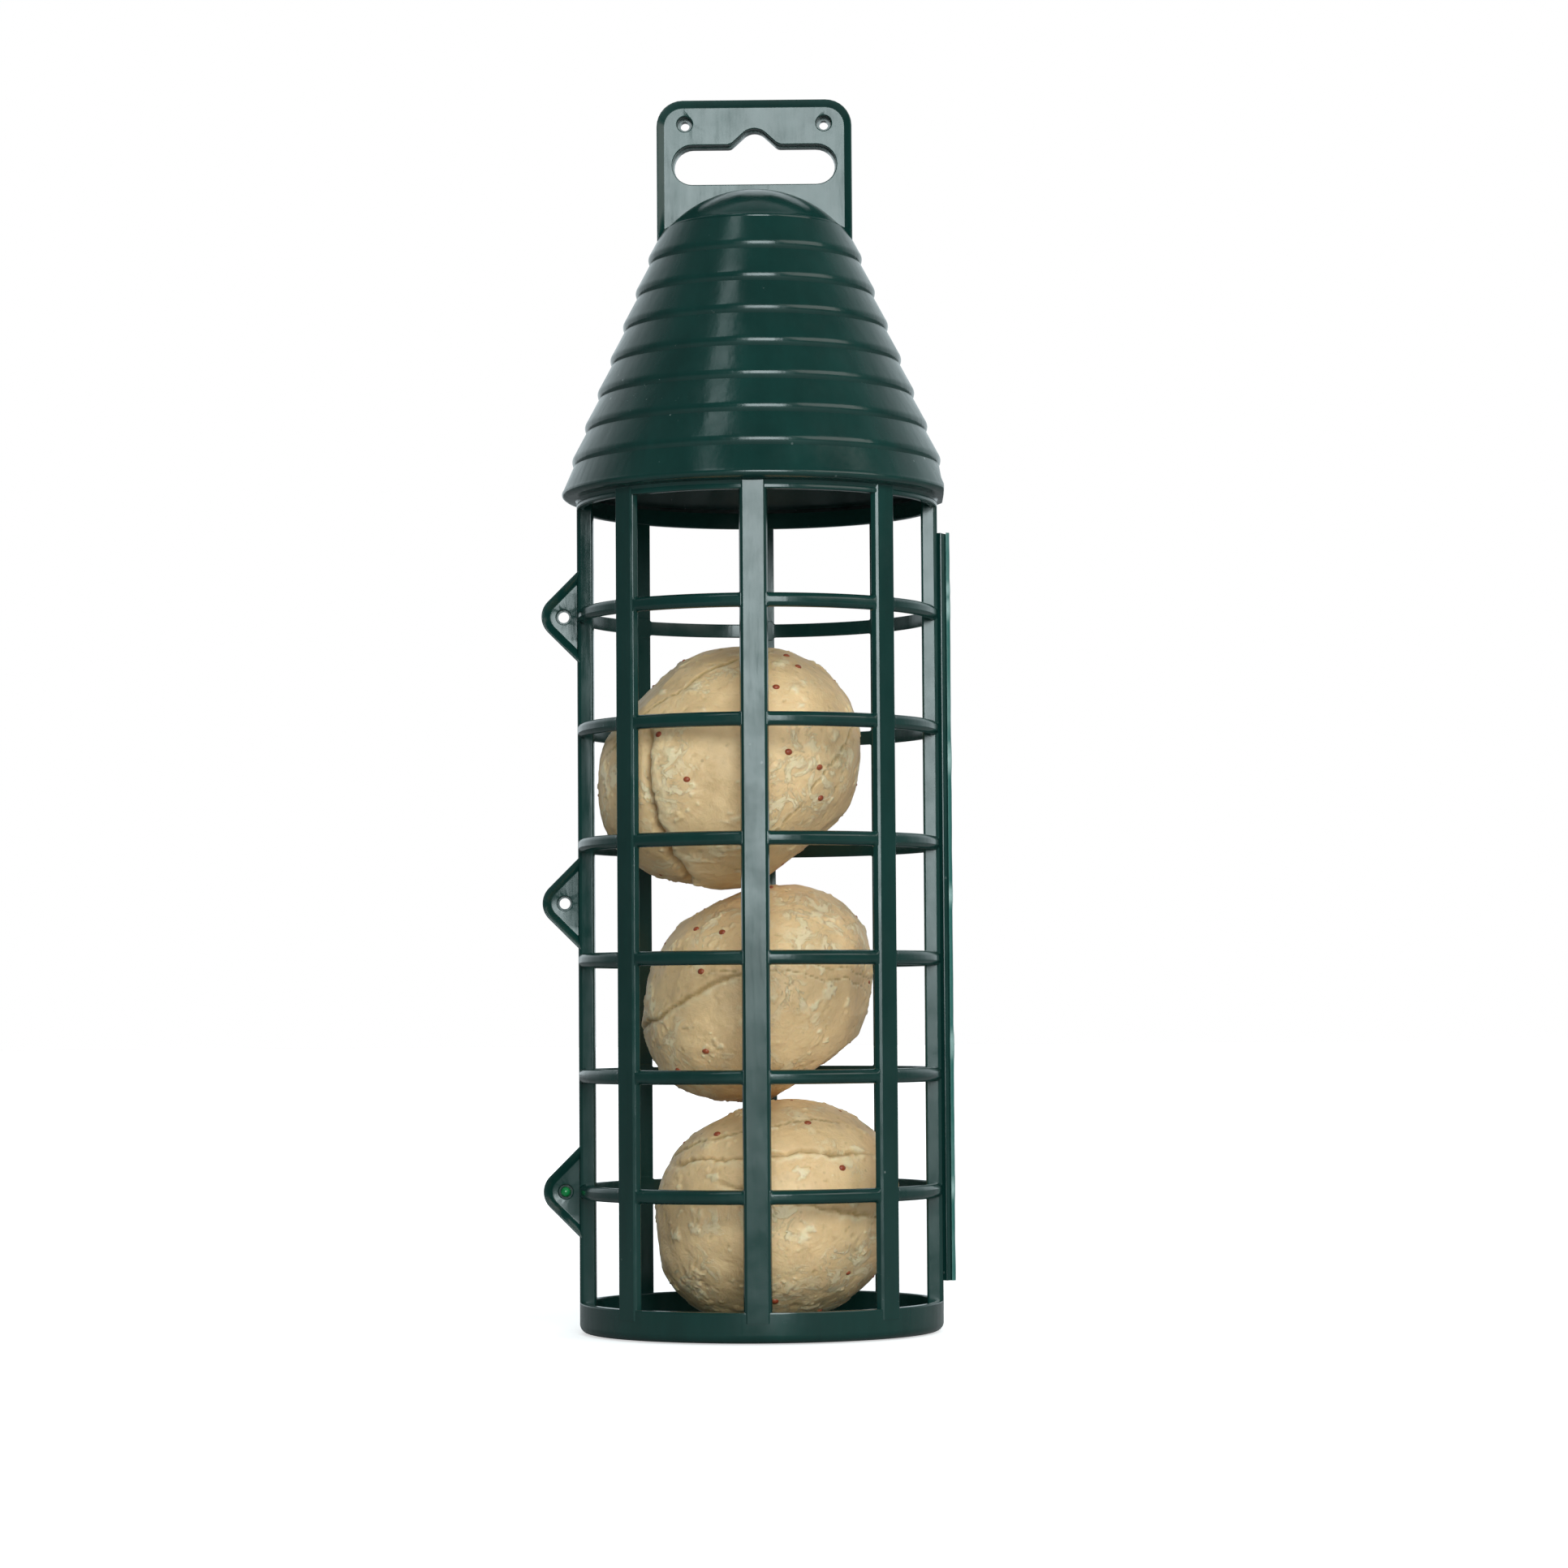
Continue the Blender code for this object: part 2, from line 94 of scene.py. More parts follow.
# Posts and hoops: half widths and radii of their drafted sections.
POST_FACE = 2.3 * MM
POST_SHOULDER = 2.85 * MM
POST_FOOT = 3.2 * MM
POST_PROUD = 0.15 * MM
POST_END_LOW = 4.4 * MM
POST_DIRECTIONS = (-45, 0, 45)
HOOP_FACE = 0.55 * MM
HOOP_SHOULDER = 1.15 * MM
HOOP_FOOT = 1.6 * MM
HOOP_SUNK = 0.1 * MM
WINDOW_CORNER = 0.8 * MM

# Roof courses.
COURSES = 7
NOSE_RADIUS = 42.0 * MM
NOSE_Z = 196.9 * MM
COURSE_RUN = 2.93 * MM
COURSE_RISE = 7.74 * MM
DOME_NOSE = (19.7 * MM, 251.1 * MM)
ROOF_WALL = 1.5 * MM

# Hang plate, its slot and its screw holes. Behind, the slot and the screw holes are a little smaller.
PLATE_CORNER = 6.0 * MM
PLATE_FOOT_Z = 245.8 * MM
PLATE_ARCH_FOOT = (19.0 * MM, 248.0 * MM)
PLATE_RIM = 1.75 * MM
PLATE_SUNK = 0.85 * MM
SLOT_LOW_Z = 260.9 * MM
SLOT_HIGH_Z = 270.0 * MM
SLOT_HALF_WIDTH = 18.75 * MM
SLOT_NOTCH_RADIUS = 3.7 * MM
SLOT_TRIM = {"front": 0.0, "back": 0.35 * MM}
SCREW_PLACE = (15.9 * MM, 274.9 * MM)
SCREW_RADIUS = {"front": 1.75 * MM, "back": 1.05 * MM}

# Ears.
EAR_RADIUS = 4.95 * MM
EAR_RIM = 2.0 * MM
EAR_SUNK = 1.25 * MM
EAR_HOLE_RADIUS = {"front": 1.65 * MM, "back": 1.25 * MM}

# Where use has whitened the hinge web: middle and half height, in millimetres.
HINGE_SCALLOPS = ((167.8, 1.6), (163.3, 2.4), (129.3, 3.4), (98.1, 2.2), (64.4, 3.0), (32.0, 2.4))

# Finish colours, linear.
GREEN = (0.0055, 0.0370, 0.0310)
GREEN_PALE = (0.05, 0.12, 0.11)
SCUFF = (0.42, 0.47, 0.45)
TEAL = (0.03, 0.20, 0.17)
TEAL_WHITE = (0.45, 0.66, 0.62)
PEG_GREEN = (0.012, 0.33, 0.085)
SUET = (0.90, 0.62, 0.335)
SUET_CREAM = (0.97, 0.80, 0.52)
SUET_BROWN = (0.43, 0.27, 0.10)
SEED_RED = (0.30, 0.040, 0.016)


# Materials ------------------------------------------------------------------------------------

class Shader:
    """A material's node tree, with short calls for the nodes that the finishes share."""

    def __init__(self, name, colour, roughness):
        self.material = bpy.data.materials.new(name)
        self.material.use_nodes = True
        self.material.diffuse_color = (*colour, 1)
        self.nodes = self.material.node_tree.nodes
        self.links = self.material.node_tree.links
        self.principled = self.nodes["Principled BSDF"]
        self.set("Base Color", (*colour, 1))
        self.set("Roughness", roughness)
        self.place = self.nodes.new("ShaderNodeTexCoord").outputs["Object"]

    def set(self, socket, value):
        self.principled.inputs[socket].default_value = value

    def plug(self, output, socket):
        self.links.new(output, self.principled.inputs[socket])

    def stretched(self, scale):
        """The object's coordinates, stretched along each axis."""
        mapping = self.nodes.new("ShaderNodeMapping")
        mapping.inputs["Scale"].default_value = scale
        self.links.new(self.place, mapping.inputs["Vector"])
        return mapping.outputs["Vector"]

    def noise(self, scale, detail=3, roughness=0.5, distortion=0.0, place=None):
        node = self.nodes.new("ShaderNodeTexNoise")
        node.inputs["Scale"].default_value = scale
        node.inputs["Detail"].default_value = detail
        node.inputs["Roughness"].default_value = roughness
        node.inputs["Distortion"].default_value = distortion
        self.links.new(place or self.place, node.inputs["Vector"])
        return node.outputs["Fac"]

    def cells(self, scale):
        """Distance to the nearest of many scattered points."""
        node = self.nodes.new("ShaderNodeTexVoronoi")
        node.inputs["Scale"].default_value = scale
        self.links.new(self.place, node.inputs["Vector"])
        return node.outputs["Distance"]

    def ramp(self, value, *stops):
        """A value mapped through (position, grey) stops."""
        node = self.nodes.new("ShaderNodeValToRGB")
        elements = node.color_ramp.elements
        while len(elements) < len(stops):
            elements.new(0.5)
        for element, (position, grey) in zip(elements, stops):
            element.position = position
            element.color = (grey, grey, grey, 1)
        self.links.new(value, node.inputs["Fac"])
        return node.outputs["Color"]

    def math(self, operation, first, second):
        node = self.nodes.new("ShaderNodeMath")
        node.operation = operation
        for socket, value in zip(node.inputs, (first, second)):
            if isinstance(value, (int, float)):
                socket.default_value = value
            else:
                self.links.new(value, socket)
        return node.outputs["Value"]

    def mix(self, share, first, second):
        """A colour between two others; each is a colour or an output."""
        node = self.nodes.new("ShaderNodeMix")
        node.data_type = "RGBA"
        sockets = (node.inputs[0], node.inputs[6], node.inputs[7])
        for socket, value in zip(sockets, (share, first, second)):
            if isinstance(value, (int, float)):
                socket.default_value = value
            elif isinstance(value, tuple):
                socket.default_value = (*value, 1)
            else:
                self.links.new(value, socket)
        return node.outputs[2]

    def attribute(self, name):
        node = self.nodes.new("ShaderNodeAttribute")
        node.attribute_name = name
        return node.outputs["Fac"]

    def bump(self, *layers):
        """Stacks (height, distance in metres) layers into the normal."""
        normal = None
        for height, distance in layers:
            node = self.nodes.new("ShaderNodeBump")
            node.inputs["Strength"].default_value = 1.0
            node.inputs["Distance"].default_value = distance
            self.links.new(height, node.inputs["Height"])
            if normal:
                self.links.new(normal, node.inputs["Normal"])
            normal = node.outputs["Normal"]
        self.plug(normal, "Normal")


def make_green_plastic():
    """Moulded polypropylene: glossy, faintly wavy, with flow marks, dust specks and small scuffs."""
    s = Shader("green_plastic", GREEN, 0.2)
    flow = s.ramp(s.noise(90, 4, 0.6, place=s.stretched((1, 1, 0.25))), (0.35, 0), (0.75, 1))
    tint = s.mix(flow, tuple(c * 0.84 for c in GREEN), tuple(c * 1.2 for c in GREEN))
    scratch = s.noise(420, 3, 0.7, 0.6, place=s.stretched((1, 1, 0.12)))
    scratched = s.ramp(scratch, (0.70, 0), (0.78, 1))
    tiny = s.ramp(s.cells(170), (0.035, 1), (0.06, 0))
    patches = s.ramp(s.noise(28, 3, 0.6), (0.52, 0), (0.66, 1))
    specks = s.math("MULTIPLY", tiny, patches)
    chips = s.ramp(s.noise(520, 4, 0.75), (0.66, 0), (0.74, 1))
    scuffs = s.math("MULTIPLY", chips, s.ramp(s.noise(45, 2), (0.63, 0), (0.70, 1)))
    tint = s.mix(s.math("MULTIPLY", scratched, 0.06), tint, GREEN_PALE)
    tint = s.mix(s.math("MULTIPLY", specks, 0.5), tint, SCUFF)
    tint = s.mix(s.math("MULTIPLY", scuffs, 0.45), tint, SCUFF)
    s.plug(tint, "Base Color")
    mottle = s.ramp(s.noise(150, 5, 0.62), (0.30, 0.13), (0.72, 0.27))
    s.plug(s.mix(scuffs, mottle, (0.6, 0.6, 0.6)), "Roughness")
    waves = s.noise(240, 3, 0.5, place=s.stretched((1, 1, 0.16)))
    s.bump((waves, 0.00010), (s.noise(48, 2, 0.4), 0.00016), (s.noise(800, 2, 0.5), 0.000003))
    return s.material


def make_film_plastic():
    """The living hinge: thin green plastic, gone pale and milky where it has been bent."""
    s = Shader("hinge_film", TEAL, 0.32)
    s.set("Transmission Weight", 0.35)
    scallops = s.ramp(s.noise(62, 2, 0.5, place=s.stretched((0.2, 0.2, 1))), (0.52, 0.02), (0.70, 0.35))
    pale = s.math("MAXIMUM", scallops, s.attribute("pale"))
    fine = s.ramp(s.noise(600, 3, 0.6), (0.3, 0.7), (0.7, 1))
    s.plug(s.mix(s.math("MULTIPLY", pale, fine), TEAL, TEAL_WHITE), "Base Color")
    s.plug(s.ramp(s.noise(300, 3), (0.3, 0.28), (0.7, 0.45)), "Roughness")
    s.bump((s.noise(420, 3, 0.6), 0.00003))
    return s.material


def make_peg_plastic():
    s = Shader("peg_plastic", PEG_GREEN, 0.18)
    s.set("Transmission Weight", 0.25)
    shade = s.ramp(s.noise(500, 3), (0.3, 0.0), (0.7, 1))
    s.plug(s.mix(shade, tuple(c * 0.7 for c in PEG_GREEN), PEG_GREEN), "Base Color")
    s.plug(s.ramp(s.noise(900, 2), (0.3, 0.14), (0.7, 0.26)), "Roughness")
    s.bump((s.noise(800, 2), 0.00001))
    return s.material


def make_suet():
    """Pressed fat and meal: tan and waxy, with cream smears, brown dirt, dark grains, painted shade in its
    cracks and pits, and darker towards the bottom.
    """
    s = Shader("suet", SUET, 0.5)
    s.set("Subsurface Weight", 0.18)
    s.set("Subsurface Scale", 0.0025)
    s.set("Subsurface Radius", (1.0, 0.6, 0.3))
    cloud = s.ramp(s.noise(55, 5, 0.62, 0.4), (0.32, 0), (0.70, 1))
    tint = s.mix(cloud, tuple(c * m for c, m in zip(SUET, (0.84, 0.80, 0.74))), tuple(c * 1.1 for c in SUET))
    streaks = s.ramp(s.noise(190, 6, 0.72, 1.5), (0.50, 0), (0.56, 1))
    smear_mask = s.math("MULTIPLY", streaks, s.ramp(s.noise(60, 2), (0.50, 0), (0.58, 1)))
    smear = s.math("MAXIMUM", s.math("MULTIPLY", smear_mask, 0.7), s.attribute("cream"))
    tint = s.mix(smear, tint, SUET_CREAM)
    dirt_and_painted_shade = s.math("MULTIPLY", s.ramp(s.noise(300, 5, 0.7), (0.52, 0), (0.72, 1)), 0.22)
    tint = s.mix(dirt_and_painted_shade, tint, SUET_BROWN)
    # painted shade: the cracks' grooves and the pits turned brown from the mesh attribute, which also makes
    # the ball darker towards the bottom
    tint = s.mix(s.attribute("dirt_and_painted_shade"), tint, SUET_BROWN)
    grains = s.ramp(s.cells(420), (0.10, 1), (0.20, 0))
    dark = s.math("MULTIPLY", grains, s.ramp(s.noise(240, 2), (0.55, 0), (0.68, 1)))
    tint = s.mix(s.math("MULTIPLY", dark, 0.4), tint, (0.22, 0.12, 0.05))
    s.plug(tint, "Base Color")
    s.plug(s.ramp(s.noise(220, 4, 0.6), (0.3, 0.42), (0.7, 0.62)), "Roughness")
    s.bump((s.noise(230, 5, 0.62, 0.5), 0.00046), (s.noise(1300, 4, 0.7), 0.00009), (smear, 0.00017))
    return s.material


def make_seed():
    s = Shader("red_millet", SEED_RED, 0.35)
    s.plug(s.mix(s.ramp(s.noise(900, 3), (0.3, 0), (0.7, 1)), SEED_RED, (0.40, 0.10, 0.035)), "Base Color")
    s.bump((s.noise(1500, 2), 0.00004))
    return s.material


# Mesh helpers ---------------------------------------------------------------------------------

def link_piece(name, data):
    piece = bpy.data.objects.new(name, data)
    bpy.context.scene.collection.objects.link(piece)
    return piece


def smooth_mesh(name, shape, material, sharp=None):
    """A smooth-shaded mesh from a bmesh, with edges beyond an angle in degrees kept sharp."""
    mesh = bpy.data.meshes.new(name)
    shape.to_mesh(mesh)
    shape.free()
    mesh.shade_smooth()
    if sharp is not None:
        mesh.set_sharp_from_angle(angle=math.radians(sharp))
    mesh.materials.append(MATERIALS[material])
    return mesh


def finish_piece(name, shape, body, nodes, slot="green_plastic"):
    """Turns a bmesh into a smooth-shaded piece that rides on a body in place of its CAD nodes."""
    bmesh.ops.remove_doubles(shape, verts=shape.verts, dist=0.002 * MM)
    bmesh.ops.recalc_face_normals(shape, faces=shape.faces)
    piece = link_piece(name, smooth_mesh(name, shape, slot, 32))
    weighted = piece.modifiers.new("weighted_normals", "WEIGHTED_NORMAL")
    weighted.keep_sharp = True
    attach(piece, body)
    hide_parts(*nodes)
    return piece


def bridge(shape, first, second):
    """Quads between two rings of vertices with equal counts."""
    count = len(first)
    for i in range(count):
        j = (i + 1) % count
        shape.faces.new((first[i], first[j], second[j], second[i]))


def add_tube(shape, sections):
    """A closed body through rings of points."""
    rings = [[shape.verts.new(point) for point in section] for section in sections]
    for first, second in zip(rings, rings[1:]):
        bridge(shape, first, second)
    shape.faces.new(rings[0])
    shape.faces.new(rings[-1])


def arc(centre, radius, start, end, steps):
    """Points on an arc in a plane, angles in degrees."""
    angles = [math.radians(start + (end - start) * i / steps) for i in range(steps + 1)]
    return [(centre[0] + radius * math.cos(a), centre[1] + radius * math.sin(a)) for a in angles]


def rounded(points, steps=4):
    """A closed outline whose corners, given as (a, b, radius), are rounded."""
    result = []
    count = len(points)
    for i, (a, b, radius) in enumerate(points):
        corner = Vector((a, b))
        before = (Vector(points[i - 1][:2]) - corner).normalized()
        after = (Vector(points[(i + 1) % count][:2]) - corner).normalized()
        if radius <= 0:
            result.append((a, b))
            continue
        half = before.angle(after) / 2
        reach = radius / math.tan(half)
        middle = corner + (before + after).normalized() * (radius / math.sin(half))
        start = corner + before * reach - middle
        sweep = math.pi - 2 * half
        turn = 1 if start.cross(corner + after * reach - middle) > 0 else -1
        for k in range(steps + 1):
            angle = turn * sweep * k / steps
            spoke = Matrix.Rotation(angle, 2) @ start
            result.append(tuple(middle + spoke))
    return result


def half_point(side, angle, radius, z, seam=SEAM):
    """A point of a half shell: 0 degrees is the middle of the half, 90 its parting plane."""
    lean = math.radians(angle)
    across = max(radius - seam, 0) * math.cos(lean)
    return (radius * math.sin(lean), SIDES[side] * (seam + across), z)


def half_turn(count):
    return [-90 + 180 * i / count for i in range(count + 1)]


# Half shells ----------------------------------------------------------------------------------

def course_profile():
    """The roof's stepped skin, from the dome's foot down to the rim, as (radius, z)."""
    fall = [(-3.25, 6.89), (-0.50, 1.75), (-0.24, 1.30), (-0.09, 0.93), (-0.02, 0.63), (0, 0.33)]
    fall += [(-0.03, 0.03), (-0.10, -0.30), (-0.20, -0.60), (-0.32, -0.85)]
    points = []
    for step in reversed(range(COURSES)):
        radius = NOSE_RADIUS - COURSE_RUN * step
        z = NOSE_Z + COURSE_RISE * step
        points += [(radius + dr * MM, z + dz * MM) for dr, dz in fall]
    return points


def dome_profile():
    """The cap, from its top down over its nose and the groove under it."""
    top = DOME_TOP
    drop = top - DOME_NOSE[1]
    sphere = (DOME_NOSE[0] ** 2 + drop ** 2) / (2 * drop)
    end = math.degrees(math.acos(DOME_NOSE[0] / sphere))
    points = arc((0, top - sphere), sphere, 90, end, 22)
    points[0] = (0, top)
    radius, z = DOME_NOSE
    nose = [(0.28, -0.10), (0.40, -0.28), (0.44, -0.50), (0.42, -0.72), (0.34, -0.95), (0.30, -1.12)]
    nose.append((0.62, -1.02))
    return points + [(radius + dr * MM, z + dz * MM) for dr, dz in nose]


def rim_profile():
    """The last course, its nose, the soffit under it and the ring that the posts hang from."""
    rim = -SKIRT_LOW.y
    bottom = RING_LOW.z
    lip = arc((rim - 0.9 * MM, 189.8 * MM), 0.9 * MM, 30, -62, 7)
    ring = arc((CAGE - 0.35 * MM, bottom + 0.35 * MM), 0.35 * MM, 0, -90, 3)
    return [
        (rim - 0.42 * MM, 190.75 * MM),
        *lip,
        (rim - 0.85 * MM, 188.72 * MM),
        (rim - 1.4 * MM, 188.6 * MM),
        (CAGE + 0.75 * MM, 188.5 * MM),
        (CAGE + 0.25 * MM, 188.35 * MM),
        (CAGE + 0.02 * MM, 188.05 * MM),
        (CAGE - 0.12 * MM, 187.6 * MM),
        (CAGE, 187.2 * MM),
        *ring,
        (INNER + 0.2 * MM, bottom),
        (INNER, bottom + 0.2 * MM),
        (INNER, bottom + 3.6 * MM),
    ]


def roof_inside():
    """The hollow's wall, from the ring up to the dome."""
    slope = COURSE_RUN / COURSE_RISE
    foot = (NOSE_RADIUS + 1.0 * MM, 191.3 * MM)
    head_z = 245.5 * MM
    head = (foot[0] - slope * (head_z - foot[1]), head_z)
    inner_top = DOME_TOP - ROOF_WALL
    drop = inner_top - head_z
    sphere = (head[0] ** 2 + drop ** 2) / (2 * drop)
    end = math.degrees(math.atan2(head_z - (inner_top - sphere), head[0]))
    dome = arc((0, inner_top - sphere), sphere, end, 90, 12)
    dome[-1] = (0, inner_top)
    wall = [tuple(Vector(foot).lerp(Vector(head), i / 14)) for i in range(14)]
    return [*wall, *dome]


def make_turned_half(name, side, profile, nodes, steps, trims=None):
    """A half-turned shell, closed on its parting plane; trims limit how far right each point goes."""
    shape = bmesh.new()
    sections = []
    for angle in half_turn(steps):
        section = [half_point(side, angle, r, z) for r, z in profile]
        if trims:
            section = [(min(x, trim), y, z) for (x, y, z), trim in zip(section, trims)]
        sections.append(section)
    add_tube(shape, sections)
    bmesh.ops.remove_doubles(shape, verts=shape.verts, dist=0.002 * MM)
    return finish_piece(name, shape, side + "_half", nodes)


def make_roof(side):
    outside = [*dome_profile(), *course_profile(), *rim_profile()]
    inside = roof_inside()
    trims = [SKIRT_HIGH.x] * len(outside) + [SKIRT_HIGH.x - 1.1 * MM] * len(inside)
    nodes = [side + "_roof_skirt", side + "_roof_cap", side + "_top_ring"]
    return make_turned_half(side + "_roof", side, outside + inside, nodes, 144, trims)


def make_base(side):
    """The shallow cup: floor, wall and a round bottom corner."""
    radius = CAGE
    corner = 1.9 * MM
    floor = 1.8 * MM
    profile = [
        (0, floor),
        (INNER - 0.6 * MM, floor),
        (INNER - 0.15 * MM, floor + 0.2 * MM),
        (INNER, floor + 0.7 * MM),
        (INNER, BASE_HIGH.z - 0.25 * MM),
        (INNER + 0.25 * MM, BASE_HIGH.z),
        (radius - 0.35 * MM, BASE_HIGH.z),
        (radius - 0.1 * MM, BASE_HIGH.z - 0.1 * MM),
        (radius, BASE_HIGH.z - 0.4 * MM),
        *arc((radius - corner, corner), corner, 0, -82, 7),
        (radius - corner - 0.9 * MM, 0),
        (0, 0),
    ]
    return make_turned_half(side + "_base", side, profile, [side + "_base_cup"], 96)


def hoop_section(rise):
    """A hoop's section as (radius, height above its middle), taller by rise where it meets a post."""
    face = CAGE - HOOP_SUNK
    half = [
        (INNER + 0.02 * MM, HOOP_FOOT - 0.3 * MM),
        (INNER + 0.1 * MM, HOOP_FOOT - 0.08 * MM),
        (INNER + 0.32 * MM, HOOP_FOOT),
        (face - 0.75 * MM, HOOP_FOOT - 0.12 * MM),
        (face - 0.42 * MM, HOOP_SHOULDER + 0.08 * MM),
        (face - 0.16 * MM, HOOP_FACE + 0.32 * MM),
        (face - 0.03 * MM, HOOP_FACE + 0.1 * MM),
        (face, HOOP_FACE - 0.1 * MM),
    ]
    upper = [(r, h + rise) for r, h in half]
    return upper + [(r, -h) for r, h in reversed(upper)]


def fillet_rise(distance):
    """How much a hoop gains on each edge at that distance from a post's flank."""
    if distance >= WINDOW_CORNER:
        return 0.0
    return WINDOW_CORNER - math.sqrt(WINDOW_CORNER ** 2 - (WINDOW_CORNER - max(distance, 0)) ** 2)


def bay_steps(start_flank, end_flank):
    """Distances along one bay between two posts, dense in the corners of its window."""
    bay = math.radians(45) * CAGE
    corner = [WINDOW_CORNER * (1 - math.cos(math.radians(18 * i))) for i in range(6)]
    near = [start_flank + c for c in corner]
    far = [bay - end_flank - c for c in reversed(corner)]
    middle = [near[-1] + (far[0] - near[-1]) * i / 14 for i in range(1, 14)]
    return [0.0, *near, *middle, *far]


def add_hoop(shape, side, z):
    side_flank = (SIDE_HIGH.x - SIDE_LOW.x) * 0.55
    flanks = [side_flank, POST_SHOULDER, POST_SHOULDER, POST_SHOULDER, side_flank]
    bay = math.radians(45) * CAGE
    sections = []
    for index in range(4):
        start, end = flanks[index], flanks[index + 1]
        steps = bay_steps(start, end) + ([bay] if index == 3 else [])
        for step in steps:
            rise = max(fillet_rise(step - start), fillet_rise(bay - step - end))
            angle = -90 + 45 * index + math.degrees(step / CAGE)
            sections.append([half_point(side, angle, r, z + h, HOOP_SEAM) for r, h in hoop_section(rise)])
    add_tube(shape, sections)


def post_section():
    """A post's section as (across, radius): flat face, rounded shoulders, drafted flanks."""
    face = CAGE + POST_PROUD
    corners = [
        (POST_FACE, face, 0.12 * MM),
        (POST_SHOULDER, face - 0.46 * MM, 0.4 * MM),
        (POST_FOOT, INNER + 0.1 * MM, 0.25 * MM),
        (-POST_FOOT, INNER + 0.1 * MM, 0.25 * MM),
        (-POST_SHOULDER, face - 0.46 * MM, 0.4 * MM),
        (-POST_FACE, face, 0.12 * MM),
    ]
    return rounded(corners, 3)


def post_levels():
    """Heights of a post's rings, evenly spaced from its low end to just under the top ring."""
    top = RING_HIGH.z - 2.2 * MM
    count = 60
    return [POST_END_LOW + (top - POST_END_LOW) * i / count for i in range(count + 1)]


def add_post(shape, side, angle):
    lean = math.radians(angle)
    outwards = Vector((math.sin(lean), SIDES[side] * math.cos(lean), 0))
    across = Vector((math.cos(lean), -SIDES[side] * math.sin(lean), 0))
    sections = []
    for z in post_levels():
        section = [across * t + outwards * r + Vector((0, 0, z)) for t, r in post_section()]
        sections.append(section)
    add_tube(shape, sections)


def add_side_post(shape, side, right):
    """The half post on the parting plane: its flat faces the middle of its half."""
    sign = 1 if right else -1
    y_face = max(abs(SIDE_LOW.y), abs(SIDE_HIGH.y))
    draft = 0.0 if right else 0.20 * MM
    corners = [
        (SIDE_LOW.x, POST_SEAM, 0.0),
        (SIDE_LOW.x, y_face, 0.45 * MM),
        (SIDE_HIGH.x - 0.02 * MM, y_face - draft, 1.05 * MM),
        (SIDE_HIGH.x - 0.02 * MM, POST_SEAM, 0.0),
    ]
    section = rounded(corners, 5)
    sections = []
    for z in post_levels():
        sections.append([(sign * x, SIDES[side] * y, z) for x, y in section])
    add_tube(shape, sections)


def make_cage(side):
    """The posts and hoops of one half, as one moulding."""
    shape = bmesh.new()
    for z in HOOPS:
        add_hoop(shape, side, z)
    for angle in POST_DIRECTIONS:
        add_post(shape, side, angle)
    for right in (False, True):
        add_side_post(shape, side, right)
    nodes = [f"{side}_hoop_{i}" for i in range(1, 7)]
    nodes += [f"{side}_post_{place}" for place in ("left", "center", "right")]
    nodes += [f"{side}_side_post_{place}" for place in ("left", "right")]
    return finish_piece(side + "_cage", shape, side + "_half", nodes)


# Plates: slabs with a raised rim, a sunk panel and holes ---------------------------------------

def inwards(points):
    """The outline in the order that puts its inside on the left."""
    area = sum(a[0] * b[1] - b[0] * a[1] for a, b in zip(points, points[1:] + points[:1]))
    return points if area > 0 else points[::-1]


def offset_outline(points, inset):
    """A closed outline moved to its left by inset, corner by corner."""
    result = []
    count = len(points)
    for i in range(count):
        here = Vector(points[i])
        before = (here - Vector(points[i - 1])).normalized()
        after = (Vector(points[(i + 1) % count]) - here).normalized()
        normal = Vector((-before.y - after.y, before.x + after.x))
        if normal.length < 1e-6:
            normal = Vector((-before.y, before.x)) * 2
        normal.normalize()
        lean = max(normal.dot(Vector((-before.y, before.x))), 0.35)
        result.append(tuple(here + normal * (inset / lean)))
    return result


def add_ring(shape, side, outline, depth):
    """Vertices of an XZ outline at a distance from the parting plane."""
    return [shape.verts.new((x, SIDES[side] * depth, z)) for x, z in outline]


def ring_edges(shape, ring):
    edges = []
    for a, b in zip(ring, ring[1:] + ring[:1]):
        edges.append(shape.edges.get((a, b)) or shape.edges.new((a, b)))
    return edges


def add_chain(shape, side, steps):
    """Rings joined by quads, from (outline, depth) steps; gives the first and last ring."""
    rings = [add_ring(shape, side, outline, depth) for outline, depth in steps]
    for first, second in zip(rings, rings[1:]):
        bridge(shape, first, second)
    return rings[0], rings[-1]


def fill_between(shape, rings):
    edges = []
    for ring in rings:
        edges += ring_edges(shape, ring)
    bmesh.ops.triangle_fill(shape, use_beauty=True, use_dissolve=False, edges=edges)


def add_panel(shape, side, outline, rim, height, sunk, holes):
    """A slab with a sunk panel: its rim peaks near the edge, then slopes down to the panel."""
    outline = inwards(outline)
    floor = height - sunk
    chain = [(outline, PLATE_SEAM), (outline, height - 0.34 * MM)]
    crest = [(0.03, 0.16), (0.10, 0.05), (0.22, 0.0), (0.36, 0.03)]
    chain += [(offset_outline(outline, inset * MM), height - drop * MM) for inset, drop in crest]
    for share, fall in ((0.42, 0.20), (0.66, 0.52), (0.84, 0.82), (0.93, 0.95), (1.0, 1.0)):
        chain.append((offset_outline(outline, rim * share), height - 0.03 * MM - (sunk - 0.03 * MM) * fall))
    back, panel = add_chain(shape, side, chain)
    front_rings, back_rings = [panel], [back]
    for points in map(inwards, holes):
        round_over = 0.28 * MM
        walls = [(offset_outline(points, -round_over), floor)]
        walls.append((offset_outline(points, -round_over * 0.35), floor - round_over * 0.3))
        walls.append((points, floor - round_over))
        walls.append((points, PLATE_SEAM))
        first, last = add_chain(shape, side, walls)
        front_rings.append(first)
        back_rings.append(last)
    fill_between(shape, front_rings)
    fill_between(shape, back_rings)


